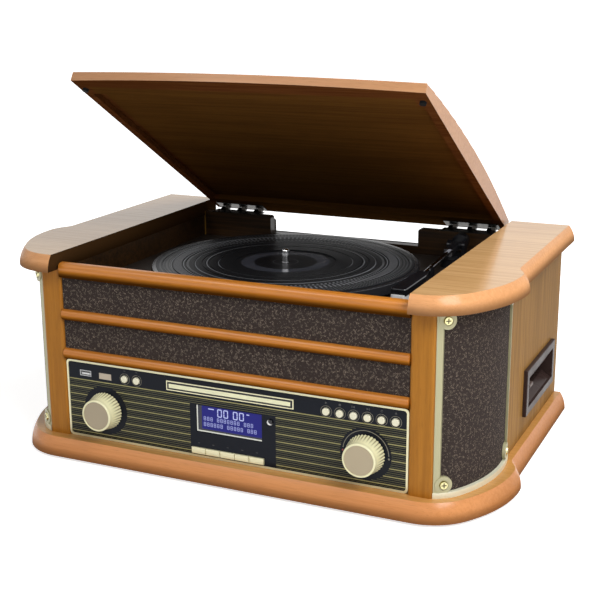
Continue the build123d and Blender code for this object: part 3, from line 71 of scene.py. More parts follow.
# Planes where the finish of one piece changes: from the arm's steel tube back to black, from the
# cartridge's red foot up to black, from the frames' foot bars, paler with painted light on their
# rounded tops, up, and from the small pale window at the left to the display's dark one
arm_steel_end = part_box("tonearm_base")[0].y - 0.02
cartridge_red_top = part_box("cartridge")[0].z + 0.0025
frame_foot_top = 0.0272
pale_window_end = -0.1

# Wood: the steepest slope of the bump that rounds the mouldings, the least clear height that
# parts one rail or board from the next, how deep and strong the pores are, where the painted shade
# on the left board's top fades out, and the bare edge in the well's rear left corner
crown_tilt = 0.7
rail_gap = 0.014
board_gap = 0.05
pore_bump = (0.00012, 0.3)
left_shade_fade = (-0.15, 0.15)
bare_edge = (0.0102, 0.0112)

# Lid: its tilt, the rim below that keeps the colour of the outside, the bow of its front edge,
# and how far in the redder border of its underside starts and ends
lid_tilt = radians(30.9)
lid_rim = 0.007
lid_bow = 0.0078
front_border = (0.026, 0.022)
side_border = (0.016, 0.012)

# Platter mat: radii of its zones and rings, and how often its marks repeat
bore_ring = (0.0125, 0.0135)
hub_radius = 0.032
hub_ring = (0.033, 0.046)
grooves_start = 0.047
thin_rings = (0.0695, 0.0815, 0.0935, 0.1055, 0.1182)
thin_ring_width = 0.0007
bead_ring = (0.1005, 0.1030)
tick_ring = (0.108, 0.1165)
dot_ring = (0.1195, 0.132)
rim_ring = (0.119, 0.134)
ticks_round = 150
dots_round = 210
dot_pitch = 0.0034
groove_pitch = 0.0016

# Printed lines of the panel, at one pitch, with fine ones between two strong ones
top_line_z = 0.0825
line_pitch = 0.0079
line_width = 0.0010
fine_line_width = 0.00045
fine_lines = 3
print_rise = 0.00008
trim_width = 0.0022

# What the printed lines leave free: a disc behind each knob, and the block of display and keys
disc_radius = 0.025
block_x = (-0.041, 0.0505)
block_z = (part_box("menu_key")[0].z - 0.0006, 0.076)

# Disc tray's surround: the step of the door's edge and the trim's turn towards it, in painted
# shade
door_step_x = 0.0009
door_step_z = 0.00063
door_depth = 0.003
trim_turn = 0.0011

# Knobs and dial
knob_flutes = 36
knob_smooth_end = 0.0045
knob_flutes_end = 0.003
knob_face_radius = 0.0141
knob_face_depths = (0.0004, 0.0008)
dial_radii = (0.0226, 0.0221)
dial_span = (radians(2), radians(172))
dial_dot_radius = 0.0009
pale_dot_place = Vector((0.0224, 0.0, -0.0016))
red_dot_place = Vector((-0.0224, 0.0, 0.0004))

# Display: its window, the margins of the lit screen and the silvery edge, and their thicknesses
window_width = 0.0705
window_height = 0.0274
window_top = 0.0750
display_sink = 0.001
screen_margin = (0.0062, 0.0036)
screen_clearance = 0.0004
screen_thickness = 0.0002
bevel_margin = (0.0007, 0.0006)
bevel_width = 0.0013
bevel_thickness = 0.0004
figure_thickness = 0.0001

# Clock and rows: starts from the screen's left and top edges, and width, height and stroke of a
# figure; the clock's marks by offset from its start and width, and by their heights above it
clock_start = (0.0168, 0.0094)
clock_size = (0.0050, 0.0082, 0.0010)
clock_pitch = 0.0066
colon_gap = 0.0036
clock_marks = ((-0.0098, 0.0062), (0.0312, 0.0030))
clock_mark_z = (0.0066, 0.0076)
row_start = (0.0020, 0.0146)
row_size = (0.0024, 0.0040, 0.0005)
row_pitch = 0.0058
letter_pitch = 0.0036

# Buttons: signs above them, thin rings of painted highlight round them, and the standby button's
# dark lens, as shares of its radius
sign_size = 0.0022
sign_gap = 0.0036
button_highlight_radii = (0.0056, 0.0053)
lens_offset = 0.45
lens_size = 0.8

# Socket's contact carrier: margins in width and depth, and heights above the shell's underside
tongue_margin = (0.0013, 0.0012)
tongue_z = (0.0011, 0.0029)

# Screws of the grilles: outward directions, planes between their groups, and their crosses
screw_directions = ((0.5823, -0.8130), (0.9934, 0.1150))
screw_split_y = -0.10
screw_split_z = 0.11
cross_length = 0.0046
cross_width = 0.0010
cross_thickness = 0.0003

# Straight steps that stand for the round outlines
face_steps = 64
dial_steps = 60
dot_steps = 24
half_ring_steps = 20

# Wood colours, each the dark and the light of its grain
post_honey = ((0.36, 0.137, 0.012), (0.45, 0.180, 0.018))
rail_honey = ((0.50, 0.165, 0.018), (0.60, 0.215, 0.026))
plinth_edge = ((0.60, 0.237, 0.072), (0.67, 0.277, 0.092))
plinth_top = ((0.48, 0.23, 0.06), (0.56, 0.28, 0.08))
wing_edge = ((0.64, 0.30, 0.12), (0.71, 0.35, 0.15))
wing_top = ((0.52, 0.295, 0.118), (0.66, 0.40, 0.18))
lid_edge = ((0.42, 0.205, 0.092), (0.48, 0.242, 0.112))
side_brown = ((0.23, 0.115, 0.028), (0.38, 0.197, 0.055))
dark_stain = ((0.094, 0.039, 0.009), (0.130, 0.056, 0.012))
red_stain = ((0.095, 0.030, 0.008), (0.150, 0.052, 0.015))
well_stain = ((0.014, 0.007, 0.003), (0.056, 0.026, 0.009))
# Painted shade: the left board's top is darker and greyer, as if it were less lit than the right
left_board_painted_shade = (0.85, 0.90, 0.97)
bare_gold = (0.30, 0.17, 0.03)

# Plain colours
pale_cream = (0.80, 0.76, 0.50)
knob_cream = (0.93, 0.89, 0.56)
door_cream = (0.95, 0.94, 0.62)
frame_cream = (0.47, 0.44, 0.26)
# Painted light: the frames' foot bars are paler, as if their rounded tops caught the light
frame_foot_painted_light = (0.88, 0.86, 0.66)
# Painted shade in the gap round the disc tray's door
gap_painted_shade = (0.012, 0.012, 0.015)
screw_gold = (0.62, 0.57, 0.30)
button_gold = (0.72, 0.69, 0.52)
black = (0.008, 0.008, 0.010)


# Shading: a material's node tree with short calls for the nodes used here
class Shading:
    def __init__(self, name, roughness=0.5, metallic=0.0, coat=0.0, coat_roughness=0.1,
                 specular=0.5):
        self.material = bpy.data.materials.new(name)
        self.material.use_nodes = True
        self.tree = self.material.node_tree
        self.shader = self.tree.nodes["Principled BSDF"]
        self.set("Roughness", roughness)
        self.set("Metallic", metallic)
        self.set("Coat Weight", coat)
        self.set("Coat Roughness", coat_roughness)
        self.set("Specular IOR Level", specular)

    def node(self, kind, **settings):
        made = self.tree.nodes.new(kind)
        for name, value in settings.items():
            setattr(made, name, value)
        return made

    def plug(self, value, socket):
        if isinstance(value, bpy.types.NodeSocket):
            self.tree.links.new(value, socket)
        else:
            socket.default_value = value

    def set(self, name, value):
        self.plug(value, self.shader.inputs[name])

    def point(self):
        return self.node("ShaderNodeTexCoord").outputs["Object"]

    def normal(self):
        return self.node("ShaderNodeTexCoord").outputs["Normal"]

    def parts(self, vector):
        split = self.node("ShaderNodeSeparateXYZ")
        self.plug(vector, split.inputs[0])
        return split.outputs

    def math(self, operation, first, second=0.0):
        made = self.node("ShaderNodeMath", operation=operation)
        self.plug(first, made.inputs[0])
        self.plug(second, made.inputs[1])
        return made.outputs[0]

    def apart(self, first, second):
        """How far two values are apart."""
        return self.math("ABSOLUTE", self.math("SUBTRACT", first, second))

    def diagonal(self, first, second):
        """Length of the diagonal of two sides."""
        squares = [self.math("MULTIPLY", side, side) for side in (first, second)]
        return self.math("SQRT", self.math("ADD", *squares))

    def dot(self, vector, direction):
        made = self.node("ShaderNodeVectorMath", operation="DOT_PRODUCT")
        self.plug(vector, made.inputs[0])
        self.plug(direction, made.inputs[1])
        return made.outputs["Value"]

    def noise(self, scale, detail, distortion=0.0):
        """Noise at so many cycles per metre along each axis."""
        mapping = self.node("ShaderNodeMapping")
        self.plug(self.point(), mapping.inputs["Vector"])
        self.plug(scale, mapping.inputs["Scale"])
        made = self.node("ShaderNodeTexNoise")
        self.plug(mapping.outputs[0], made.inputs["Vector"])
        self.plug(1.0, made.inputs["Scale"])
        self.plug(detail, made.inputs["Detail"])
        self.plug(distortion, made.inputs["Distortion"])
        return made.outputs["Fac"]

    def between(self, value, low, high, out_low=0.0, out_high=1.0):
        made = self.node("ShaderNodeMapRange", interpolation_type="SMOOTHSTEP")
        for name, number in (("Value", value), ("From Min", low), ("From Max", high),
                             ("To Min", out_low), ("To Max", out_high)):
            self.plug(number, made.inputs[name])
        return made.outputs["Result"]

    def mix(self, factor, first, second, blend_type="MIX"):
        made = self.node("ShaderNodeMix", data_type="RGBA", blend_type=blend_type)
        self.plug(factor, made.inputs["Factor"])
        colors = [socket for socket in made.inputs if socket.type == "RGBA"]
        self.plug(opaque(first), colors[0])
        self.plug(opaque(second), colors[1])
        return [socket for socket in made.outputs if socket.type == "RGBA"][0]

    def bump(self, height, depth, strength=1.0):
        made = self.node("ShaderNodeBump")
        self.plug(height, made.inputs["Height"])
        self.plug(depth, made.inputs["Distance"])
        self.plug(strength, made.inputs["Strength"])
        self.set("Normal", made.outputs[0])

    def fine_grain(self):
        """Fine noise for the colour, which also gives the surface a faint bump."""
        fine = self.noise((2500.0,) * 3, detail=2.0)
        self.bump(fine, 0.00001, 0.4)
        return fine


def opaque(color):
    return color if isinstance(color, bpy.types.NodeSocket) else (*color[:3], 1.0)


def scaled(color, share):
    return [channel * share for channel in color]


def along(axis, fine, coarse):
    """Scales per metre for a grain that runs along one axis."""
    return tuple(coarse if name == axis else fine for name in "XYZ")


def grain_color(s, axis, dark, light):
    """Growth bands, soft patches and fine pores of a lacquered veneer."""
    bands = s.noise(along(axis, 320.0, 9.0), detail=7.0, distortion=0.4)
    patches = s.noise(along(axis, 18.0, 3.0), detail=2.0)
    pores = s.noise(along(axis, 1500.0, 70.0), detail=2.0)
    figure = s.math("ADD", s.math("MULTIPLY", bands, 0.6), s.math("MULTIPLY", patches, 0.4))
    color = s.mix(s.between(figure, 0.36, 0.64), dark, light)
    pore_share = s.between(pores, 0.30, 0.45, 0.3, 0.0)
    return s.mix(pore_share, color, scaled(dark, 0.6)), pores


def height_bands(name, gap):
    """Lowest and highest points of the pieces of a node that lie over one another."""
    bands = []
    for z in sorted(corner.co.z for corner in nodes[name].data.vertices):
        if bands and z - bands[-1][1] < gap:
            bands[-1][1] = z
        else:
            bands.append([z, z])
    return bands


def moulding(s, name, gap):
    """How far a point lies up its moulding, from -1 to 1, and the height of a rounding bump."""
    z = s.parts(s.point())[2]
    bands = height_bands(name, gap)
    middle = sum(bands[0]) / 2
    nearest = middle
    for lower, upper in zip(bands, bands[1:]):
        above = s.math("GREATER_THAN", z, (lower[1] + upper[0]) / 2)
        following = sum(upper) / 2
        nearest = s.math("ADD", nearest, s.math("MULTIPLY", above, following - middle))
        middle = following
    half = (bands[0][1] - bands[0][0]) / 2
    share = s.math("DIVIDE", s.math("SUBTRACT", z, nearest), half)
    crown = s.math("MULTIPLY", s.math("MULTIPLY", share, share), -0.5 * crown_tilt * half)
    return share, crown


def upright_wood(name, dark, light, roughness=0.4, specular=0.2):
    """Wood whose grain runs up and down."""
    s = Shading(name, roughness=roughness, specular=specular)
    color, pores = grain_color(s, "Z", dark, light)
    s.set("Base Color", color)
    s.bump(pores, *pore_bump)
    return s.material


def rail_wood(name, dark, light):
    """Satin wood, rounded by a bump, with painted shade that darkens each rail towards its lower
    edge.
    """
    s = Shading(name, roughness=0.5, coat_roughness=0.3, specular=0.0)
    color, pores = grain_color(s, "X", dark, light)
    share, crown = moulding(s, "front_rails", rail_gap)
    # Painted shade: the lower part of each rail darkens, as if it were turned away from the light
    lower_painted_shade = s.between(share, -1.0, 0.25, 1.0, 0.0)
    s.set("Base Color", s.mix(lower_painted_shade, color, scaled(dark, 0.16)))
    s.set("Coat Weight", s.between(share, -0.2, 0.3))
    s.bump(s.math("ADD", crown, s.math("MULTIPLY", pores, 0.00003)), 1.0)
    return s.material


def edged_wood(name, node, top, edge, inner, coat, edge_coat, coat_roughness, flank_shade):
    """Wood: one finish on its flat top, one inside, and one on its edge, with painted shade down
    it.
    """
    s = Shading(name, roughness=0.45, coat_roughness=coat_roughness, specular=0.0)
    top_color, pores = grain_color(s, "X", *top)
    edge_color, _ = grain_color(s, "X", *edge)
    share, crown = moulding(s, node, board_gap)
    normal = s.parts(s.normal())
    topness = (normal[2], 0.93, 0.995)

    # Painted shade: the edge darkens towards its lower side, and on the side faces by the flank
    # share
    flank = s.between(s.math("ABSOLUTE", normal[0]), 0.75, 0.98)
    depth = s.math("MAXIMUM", s.between(share, -1.1, 0.3, 1.0, 0.0),
                   s.math("MULTIPLY", flank, flank_shade))
    edge_color = s.mix(depth, edge_color, scaled(edge[0], 0.55))
    # Painted shade: the top darkens towards the left board, fading across the middle
    side = s.parts(s.point())[0]
    tint = s.mix(s.between(side, *left_shade_fade), left_board_painted_shade, (1.0, 1.0, 1.0))
    top_color = s.mix(1.0, top_color, tint, "MULTIPLY")
    color = s.mix(s.between(*topness), edge_color, top_color)
    inward = s.between(s.math("MULTIPLY", normal[0], s.math("SIGN", side)), -0.9, -0.6, 1.0, 0.0)
    s.set("Base Color", s.mix(inward, color, inner))

    upper = s.between(share, -0.5, 0.4, 0.2, 1.0)
    dulled = s.between(flank, 0.0, 1.0, 1.0, 0.35)
    level = s.between(*topness, edge_coat, coat)
    coated = s.math("MULTIPLY", s.math("MULTIPLY", dulled, upper), level)
    s.set("Coat Weight", s.math("MULTIPLY", s.math("SUBTRACT", 1.0, inward), coated))
    s.bump(s.math("ADD", crown, s.math("MULTIPLY", pores, 0.00002)), 1.0)
    return s.material


def lid_wood(name, edge, under, border):
    """Honey edges and top, and a dark stained underside with a redder border."""
    s = Shading(name, roughness=0.45, coat_roughness=0.22, specular=0.0)
    edge_color, pores = grain_color(s, "X", *edge)
    under_color, _ = grain_color(s, "X", *under)
    border_color, _ = grain_color(s, "X", *border)
    down = (0.0, -sin(lid_tilt), -cos(lid_tilt))
    outward = (0.0, -cos(lid_tilt), sin(lid_tilt))
    downward = s.dot(s.normal(), down)
    reach = s.dot(s.point(), outward)
    furthest = Vector((0.0, lid_low.y, lid_high.z)).dot(outward)
    across = s.math("ABSOLUTE", s.parts(s.point())[0])

    front = s.between(reach, *(furthest - width for width in front_border))
    flank = s.between(across, *(lid_high.x - width for width in side_border))
    inner = s.mix(s.math("MAXIMUM", front, flank), under_color, border_color)
    bow = s.math("MULTIPLY", s.math("MULTIPLY", across, across), lid_bow / lid_high.x**2)
    within = s.math("MULTIPLY",
                    s.math("LESS_THAN", s.math("ADD", reach, bow), furthest - lid_rim),
                    s.math("LESS_THAN", across, lid_high.x - lid_rim))
    recess = s.math("MULTIPLY", within, s.math("GREATER_THAN", downward, -0.3))
    underside = s.math("MAXIMUM", s.between(downward, 0.5, 0.8), recess)
    s.set("Base Color", s.mix(underside, edge_color, inner))
    s.set("Coat Weight", s.math("MULTIPLY", s.math("SUBTRACT", 1.0, underside), 0.7))
    s.bump(pores, *pore_bump)
    return s.material


def well_wood(name, dark, light):
    """Very dark liners, with one bare golden edge upright in the rear left corner."""
    s = Shading(name, roughness=0.35, specular=0.25)
    color, pores = grain_color(s, "X", dark, light)
    x, y, _ = s.parts(s.point())
    beside = s.math("LESS_THAN", x, liner_low.x + bare_edge[0])
    behind = s.math("GREATER_THAN", y, liner_high.y - bare_edge[1])
    s.set("Base Color", s.mix(s.math("MULTIPLY", beside, behind), color, bare_gold))
    s.bump(pores, *pore_bump)
    return s.material


def mottled(name, color, roughness=0.5, metallic=0.0, grain=2500.0, depth=0.00002,
            specular=0.5):
    """Moulded plastic, rubber or painted metal with a fine uneven surface."""
    s = Shading(name, roughness=roughness, metallic=metallic, specular=specular)
    fine = s.noise((grain,) * 3, detail=3.0)
    broad = s.noise((25.0,) * 3, detail=2.0)
    lighter = [min(1.0, channel) for channel in scaled(color, 1.08)]
    s.set("Base Color", s.mix(broad, scaled(color, 0.92), lighter))
    s.set("Roughness", s.between(broad, 0.3, 0.7, roughness * 0.85, roughness * 1.15))
    s.bump(fine, depth, 0.5)
    return s.material


def brushed(name, color, axis, roughness):
    """Metal with fine streaks along one axis."""
    s = Shading(name, metallic=1.0)
    streaks = s.noise(along(axis, 4000.0, 60.0), detail=3.0)
    s.set("Base Color", s.mix(streaks, scaled(color, 0.75), color))
    s.set("Roughness", s.between(streaks, 0.3, 0.7, roughness * 0.7, roughness * 1.3))
    s.bump(streaks, 0.00002, 0.3)
    return s.material


def flecked_cloth(name):
    """Dark woven cloth with small beige curls."""
    s = Shading(name, roughness=0.9, specular=0.1)
    curl = s.noise((900.0,) * 3, detail=1.5, distortion=1.8)
    line = s.between(s.apart(curl, 0.5), 0.005, 0.028, 1.0, 0.0)
    patch = s.between(s.noise((430.0,) * 3, detail=1.0), 0.50, 0.60)
    fleck = s.math("MULTIPLY", line, patch)
    weave = s.noise((2600.0,) * 3, detail=2.0)
    ground = s.mix(weave, (0.018, 0.013, 0.011), (0.066, 0.050, 0.045))
    s.set("Base Color", s.mix(fleck, ground, (0.48, 0.38, 0.29)))
    s.bump(s.math("ADD", weave, fleck), 0.0002, 0.5)
    return s.material


def dusty_gloss(name):
    """Gloss black with fine dust."""
    s = Shading(name, roughness=0.2)
    dust = s.noise((1500.0,) * 3, detail=3.0)
    s.set("Base Color", s.mix(dust, (0.012, 0.012, 0.014), (0.03, 0.03, 0.034)))
    s.bump(dust, 0.00002, 0.3)
    return s.material


def mat_shading(name):
    """Black rubber with grooves, rings, beads, ticks and dots, and a painted highlight round the
    hub.
    """
    s = Shading(name, roughness=0.36, coat_roughness=0.18, specular=0.05)
    x, y, _ = s.parts(s.point())
    across = s.math("SUBTRACT", x, platter_centre.x)
    deep = s.math("SUBTRACT", y, platter_centre.y)
    radius = s.diagonal(across, deep)
    angle = s.math("ARCTAN2", deep, across)

    def ring(low, high, soft=0.0002):
        inner = s.between(radius, low - soft, low + soft)
        outer = s.between(radius, high - soft, high + soft, 1.0, 0.0)
        return s.math("MULTIPLY", inner, outer)

    def marks(span, count, share):
        turn = s.math("FRACT", s.math("MULTIPLY", angle, count / (2 * pi)))
        return s.math("MULTIPLY", ring(*span), s.math("LESS_THAN", turn, share))

    ticks = marks(tick_ring, ticks_round, 0.4)
    beads = marks(bead_ring, ticks_round, 0.45)
    cells = s.math("FRACT", s.math("MULTIPLY", radius, 1 / dot_pitch))
    dots = s.math("MULTIPLY", marks(dot_ring, dots_round, 0.45),
                  s.math("LESS_THAN", cells, 0.5))
    hub = ring(*hub_ring, 0.001)

    dust = s.noise((1500.0,) * 3, detail=3.0)
    color = s.mix(dust, (0.004, 0.004, 0.005), (0.018, 0.019, 0.021))
    # Painted highlight: the ring round the hub is bluish grey all round, for its sheen
    color = s.mix(hub, color, (0.056, 0.062, 0.080))
    color = s.mix(ring(0.0, hub_radius), color, (0.008, 0.008, 0.009))
    color = s.mix(ring(*bore_ring), color, (0.06, 0.06, 0.065))
    color = s.mix(ticks, color, (0.22, 0.225, 0.24))
    color = s.mix(beads, color, (0.20, 0.205, 0.215))
    color = s.mix(s.math("MULTIPLY", dots, 0.8), color, (0.16, 0.165, 0.17))
    for start in thin_rings:
        color = s.mix(ring(start, start + thin_ring_width), color, (0.26, 0.27, 0.29))
    s.set("Base Color", color)
    s.set("Coat Weight", s.math("MAXIMUM", hub, s.math("MULTIPLY", ring(*rim_ring), 0.15)))

    raised = s.math("ADD", s.math("MULTIPLY", ticks, 2.0), s.math("MULTIPLY", dots, 3.0))
    grooves = s.math("SINE", s.math("MULTIPLY", radius, 2 * pi / groove_pitch))
    grooved = s.math("SUBTRACT", 1.0, ring(0.0, grooves_start))
    waves = s.math("MULTIPLY", s.math("MULTIPLY", grooves, grooved), 0.5)
    s.bump(s.math("ADD", waves, raised), 0.00012, 0.6)
    return s.material


def split_by(name, axis, limit, below, above, roughness=(0.3, 0.3), metallic=(0.0, 0.0)):
    """Two finishes on one piece, either side of a plane across an axis."""
    s = Shading(name)
    side = s.math("GREATER_THAN", s.parts(s.point())["XYZ".index(axis)], limit)
    fine = s.fine_grain()
    below_color, above_color = (s.mix(fine, scaled(color, 0.85), color)
                                for color in (below, above))
    s.set("Base Color", s.mix(side, below_color, above_color))
    s.set("Roughness", s.between(side, 0.0, 1.0, *roughness))
    s.set("Metallic", s.between(side, 0.0, 1.0, *metallic))
    return s.material


def knob_shading(name, knob):
    """A pale knob with painted shade in its flutes, deeper towards the panel."""
    s = Shading(name, roughness=0.25, coat=0.5)
    centre = knob_centres[knob]
    x, y, z = s.parts(s.point())
    angle = s.math("ARCTAN2", s.math("SUBTRACT", z, centre.z), s.math("SUBTRACT", x, centre.x))
    wave = s.math("COSINE", s.math("MULTIPLY", angle, knob_flutes))
    # Painted shade: the flutes darken from the smooth front towards the panel
    groove = s.between(wave, -1.0, 0.2, 1.0, 0.0)
    front_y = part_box(knob)[0].y
    depth = s.between(y, front_y + knob_smooth_end, panel_y - knob_flutes_end)
    share = s.math("MULTIPLY", s.math("MULTIPLY", groove, depth), 0.75)
    pale = s.mix(s.fine_grain(), scaled(knob_cream, 0.95), knob_cream)
    s.set("Base Color", s.mix(share, pale, (0.16, 0.13, 0.05)))
    return s.material


def tray_outline(s, spread_x, spread_z):
    """One within the outline of the disc tray's door, grown by a spread, and nought outside."""
    x, _, z = s.parts(s.point())
    half = (tray_high - tray_low) / 2
    beside = s.math("LESS_THAN", s.apart(x, tray_centre.x), half.x + spread_x)
    level = s.math("LESS_THAN", s.apart(z, tray_centre.z), half.z + spread_z)
    return s.math("MULTIPLY", beside, level)


def trim_shading(name):
    """Pale metallic trim, with painted shade where its frame turns in towards the disc tray's
    door.
    """
    s = Shading(name, roughness=0.3, metallic=0.35)
    pale = s.mix(s.fine_grain(), scaled(pale_cream, 0.93), pale_cream)
    s.set("Base Color", s.mix(tray_outline(s, trim_turn, trim_turn), pale, gap_painted_shade))
    return s.material


def door_shading(name):
    """The disc tray's pale door, with painted shade on its stepped edge next to its frame."""
    s = Shading(name, roughness=0.3)
    face = s.math("LESS_THAN", s.parts(s.point())[1], tray_low.y + door_depth)
    middle = tray_outline(s, -door_step_x, -door_step_z)
    stepped = s.math("MULTIPLY", face, s.math("SUBTRACT", 1.0, middle))
    pale = s.mix(s.fine_grain(), scaled(door_cream, 0.93), door_cream)
    s.set("Base Color", s.mix(stepped, pale, gap_painted_shade))
    return s.material


def crescent_shading(name):
    """A bright button with a dark lens over its upper right part."""
    s = Shading(name, roughness=0.25, metallic=0.2)
    centre = box_centre("standby_button")
    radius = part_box("standby_button")[1].x - centre.x
    x, _, z = s.parts(s.point())
    across = s.math("SUBTRACT", x, centre.x + lens_offset * radius)
    up = s.math("SUBTRACT", z, centre.z + lens_offset * radius)
    lens = s.math("LESS_THAN", s.diagonal(across, up), lens_size * radius)
    bright = s.mix(s.fine_grain(), (0.78, 0.78, 0.78), (0.88, 0.88, 0.88))
    s.set("Base Color", s.mix(lens, bright, (0.010, 0.010, 0.012)))
    return s.material


def glowing(name, color, strength):
    """A lit face, dark but for its own light."""
    s = Shading(name, roughness=0.4, specular=0.1)
    fine = s.noise((3000.0,) * 3, detail=1.0)
    lit = s.mix(fine, scaled(color, 0.9), color)
    s.set("Base Color", s.mix(0.8, lit, (0.0, 0.0, 0.0)))
    s.set("Emission Color", lit)
    s.set("Emission Strength", strength)
    return s.material


materials = {
    "left_knob": knob_shading("left_knob_cream", "left_knob"),
    "right_knob": knob_shading("right_knob_cream", "right_knob"),
    "base_plinth": edged_wood("plinth_wood", "base_plinth", plinth_top, plinth_edge,
                              plinth_edge[0], coat=0.8, edge_coat=0.9, coat_roughness=0.26,
                              flank_shade=0.5),
    "wing_boards": edged_wood("wing_wood", "wing_boards", wing_top, wing_edge, well_stain[1],
                              coat=1.0, edge_coat=0.5, coat_roughness=0.16, flank_shade=0.0),
    "front_posts": upright_wood("post_wood", *post_honey),
    "front_rails": rail_wood("rail_wood", *rail_honey),
    "side_panels": upright_wood("side_wood", *side_brown, roughness=0.5, specular=0.03),
    "lid": lid_wood("lid_wood", lid_edge, dark_stain, red_stain),
    "well_liners": well_wood("well_wood", *well_stain),
    "back_panel": mottled("back_board", (0.03, 0.02, 0.015), 0.8, grain=900.0, depth=0.0001),
    "speaker_baffles": mottled("baffle_board", (0.2, 0.13, 0.08), 0.8, grain=700.0, depth=0.0001),
    "speaker_cloths": flecked_cloth("speaker_cloth"),
    "platter": dusty_gloss("platter_black"),
    "platter_mat": mat_shading("mat_rubber"),
    "tonearm": split_by("arm_tube", "Y", arm_steel_end, (0.42, 0.42, 0.45), black,
                        roughness=(0.12, 0.25), metallic=(1.0, 0.0)),
    "cartridge": split_by("cartridge_black", "Z", cartridge_red_top, (0.45, 0.01, 0.01), black),
    # Grille frames: painted light makes the foot bars paler below the plane
    "grille_frames": split_by("champagne_frame", "Z", frame_foot_top, frame_foot_painted_light, frame_cream,
                              roughness=(0.3, 0.32), metallic=(0.2, 0.2)),
    "panel_trim": trim_shading("trim_cream"),
    "standby_button": crescent_shading("button_silver"),
    "cd_tray": door_shading("tray_cream"),
    "panel_windows": split_by("window_plastic", "X", pale_window_end, (0.58, 0.49, 0.38),
                              (0.006, 0.008, 0.032), roughness=(0.3, 0.12)),
}
shared = {
    mottled("foot_rubber", (0.012, 0.012, 0.012), 0.8, specular=0.1): (
        "rubber_feet", "lid_bumpers"),
    mottled("golden_screw", screw_gold, 0.22, metallic=1.0): ("grille_screws",),
    mottled("matt_black", (0.012, 0.012, 0.013), 0.55, specular=0.3): (
        "speaker_drivers", "rear_sockets"),
    mottled("deck_brown", (0.024, 0.017, 0.013), 0.5, specular=0.3): ("turntable_deck",),
    mottled("gloss_black", black, 0.18): (
        "tonearm_base", "tonearm_yoke", "headshell", "arm_rest", "cue_lever", "speed_switch"),
    mottled("panel_black", (0.008, 0.010, 0.016), 0.2, specular=0.1): ("control_panel",),
    mottled("guard_white", (0.85, 0.85, 0.85), 0.35): ("stylus_guard",),
    mottled("cream_gold", button_gold, 0.3, metallic=0.3): (
        "source_button", "band_button", "play_button", "stop_button", "previous_button",
        "next_button", "repeat_button", "eject_button"),
    mottled("key_cream", pale_cream, 0.28, metallic=0.3): (
        "menu_key", "info_key", "scan_key", "preset_key", "select_key"),
    mottled("mechanism_grey", (0.05, 0.05, 0.055), 0.5): ("cd_mechanism",),
    mottled("board_green", (0.01, 0.08, 0.03), 0.45): ("circuit_boards",),
    mottled("cassette_brown", (0.040, 0.024, 0.021), 0.3, specular=0.06): (
        "cassette_bezel", "cassette_deck"),
    mottled("key_brown", (0.10, 0.070, 0.060), 0.35, specular=0.1): ("cassette_key",),
    mottled("belt_rubber", (0.015, 0.015, 0.015), 0.7): ("drive_belt",),
    brushed("polished_steel", (0.8, 0.8, 0.82), "Z", 0.12): ("spindle",),
    brushed("motor_steel", (0.55, 0.55, 0.56), "Z", 0.35): ("drive_motor",),
    brushed("socket_steel", (0.42, 0.42, 0.43), "X", 0.35): ("usb_socket",),
    brushed("hinge_black", (0.05, 0.045, 0.04), "X", 0.3): (
        "hinge_fixed_leaves", "hinge_lid_leaves"),
    brushed("pulley_brass", (0.75, 0.55, 0.25), "Z", 0.25): ("motor_pulley",),
}
for material, names in shared.items():
    for name in names:
        materials[name] = material

for name, node in nodes.items():
    node.data.materials.clear()
    node.data.materials.append(materials[name])


def added(name, data):
    """A new object in the scene, for its data."""
    made = bpy.data.objects.new(name, data)
    bpy.context.scene.collection.objects.link(made)
    return made


def mesh_object(name, mesh, material):
    data = bpy.data.meshes.new(name)
    mesh.to_mesh(data)
    mesh.free()
    data.materials.append(material)
    return added(name, data)


# Pieces made here: flat prints and small parts, each from its own mesh
def piece(name, mesh, material, body="cabinet"):
    made = mesh_object(name, mesh, material)
    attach(made, body)


def block(mesh, low, high):
    """A box between two corners, added to a mesh."""
    low, high = Vector(low), Vector(high)
    size = high - low
    place = Matrix.Translation((low + high) / 2) @ Matrix.Diagonal((*size, 1.0))
    bmesh.ops.create_cube(mesh, size=1.0, matrix=place)


def facing_prism(mesh, outline, y_low, y_high):
    """An outline in X and Z, drawn out from one depth to another."""
    front = [mesh.verts.new((x, y_low, z)) for x, z in outline]
    rear = [mesh.verts.new((x, y_high, z)) for x, z in outline]
    mesh.faces.new(front)
    mesh.faces.new(list(reversed(rear)))
    for index in range(len(outline)):
        following = (index + 1) % len(outline)
        mesh.faces.new((front[following], front[index], rear[index], rear[following]))


def printed(mesh, outline):
    facing_prism(mesh, outline, panel_y - print_rise, panel_y)


def arc_points(centre, radius, start, end, count):
    """Points in X and Z round a centre, with angles from the right, anticlockwise."""
    steps = [start + (end - start) * index / count for index in range(count + 1)]
    return [(centre.x + radius * cos(step), centre.z + radius * sin(step)) for step in steps]


def circle_points(centre, radius, count):
    return arc_points(centre, radius, 0.0, 2 * pi, count)[:-1]


def arc_band(centre, radii, start, end, count):
    """Outline of the band between two arcs."""
    outer, inner = (arc_points(centre, radius, start, end, count) for radius in radii)
    return outer + inner[::-1]


def free_spans(z, margin):
    """Stretches of a printed line that are clear of the discs behind the knobs and the block."""
    gaps = []
    for centre in knob_centres.values():
        rise = abs(z - centre.z)
        if rise < disc_radius:
            reach = (disc_radius**2 - rise**2) ** 0.5
            gaps.append((centre.x - reach, centre.x + reach))
    if block_z[0] - margin < z < block_z[1] + margin:
        gaps.append(block_x)
    cuts = [panel_low.x + trim_width]
    for low, high in sorted(gaps):
        cuts += [low, high]
    cuts.append(panel_high.x - trim_width)
    return list(zip(cuts[::2], cuts[1::2]))


def printed_lines(name, heights, width, material):
    mesh = bmesh.new()
    for z in heights:
        for low, high in free_spans(z, width):
            block(mesh, (low, panel_y - print_rise, z - width / 2), (high, panel_y, z + width / 2))
    piece(name, mesh, material)


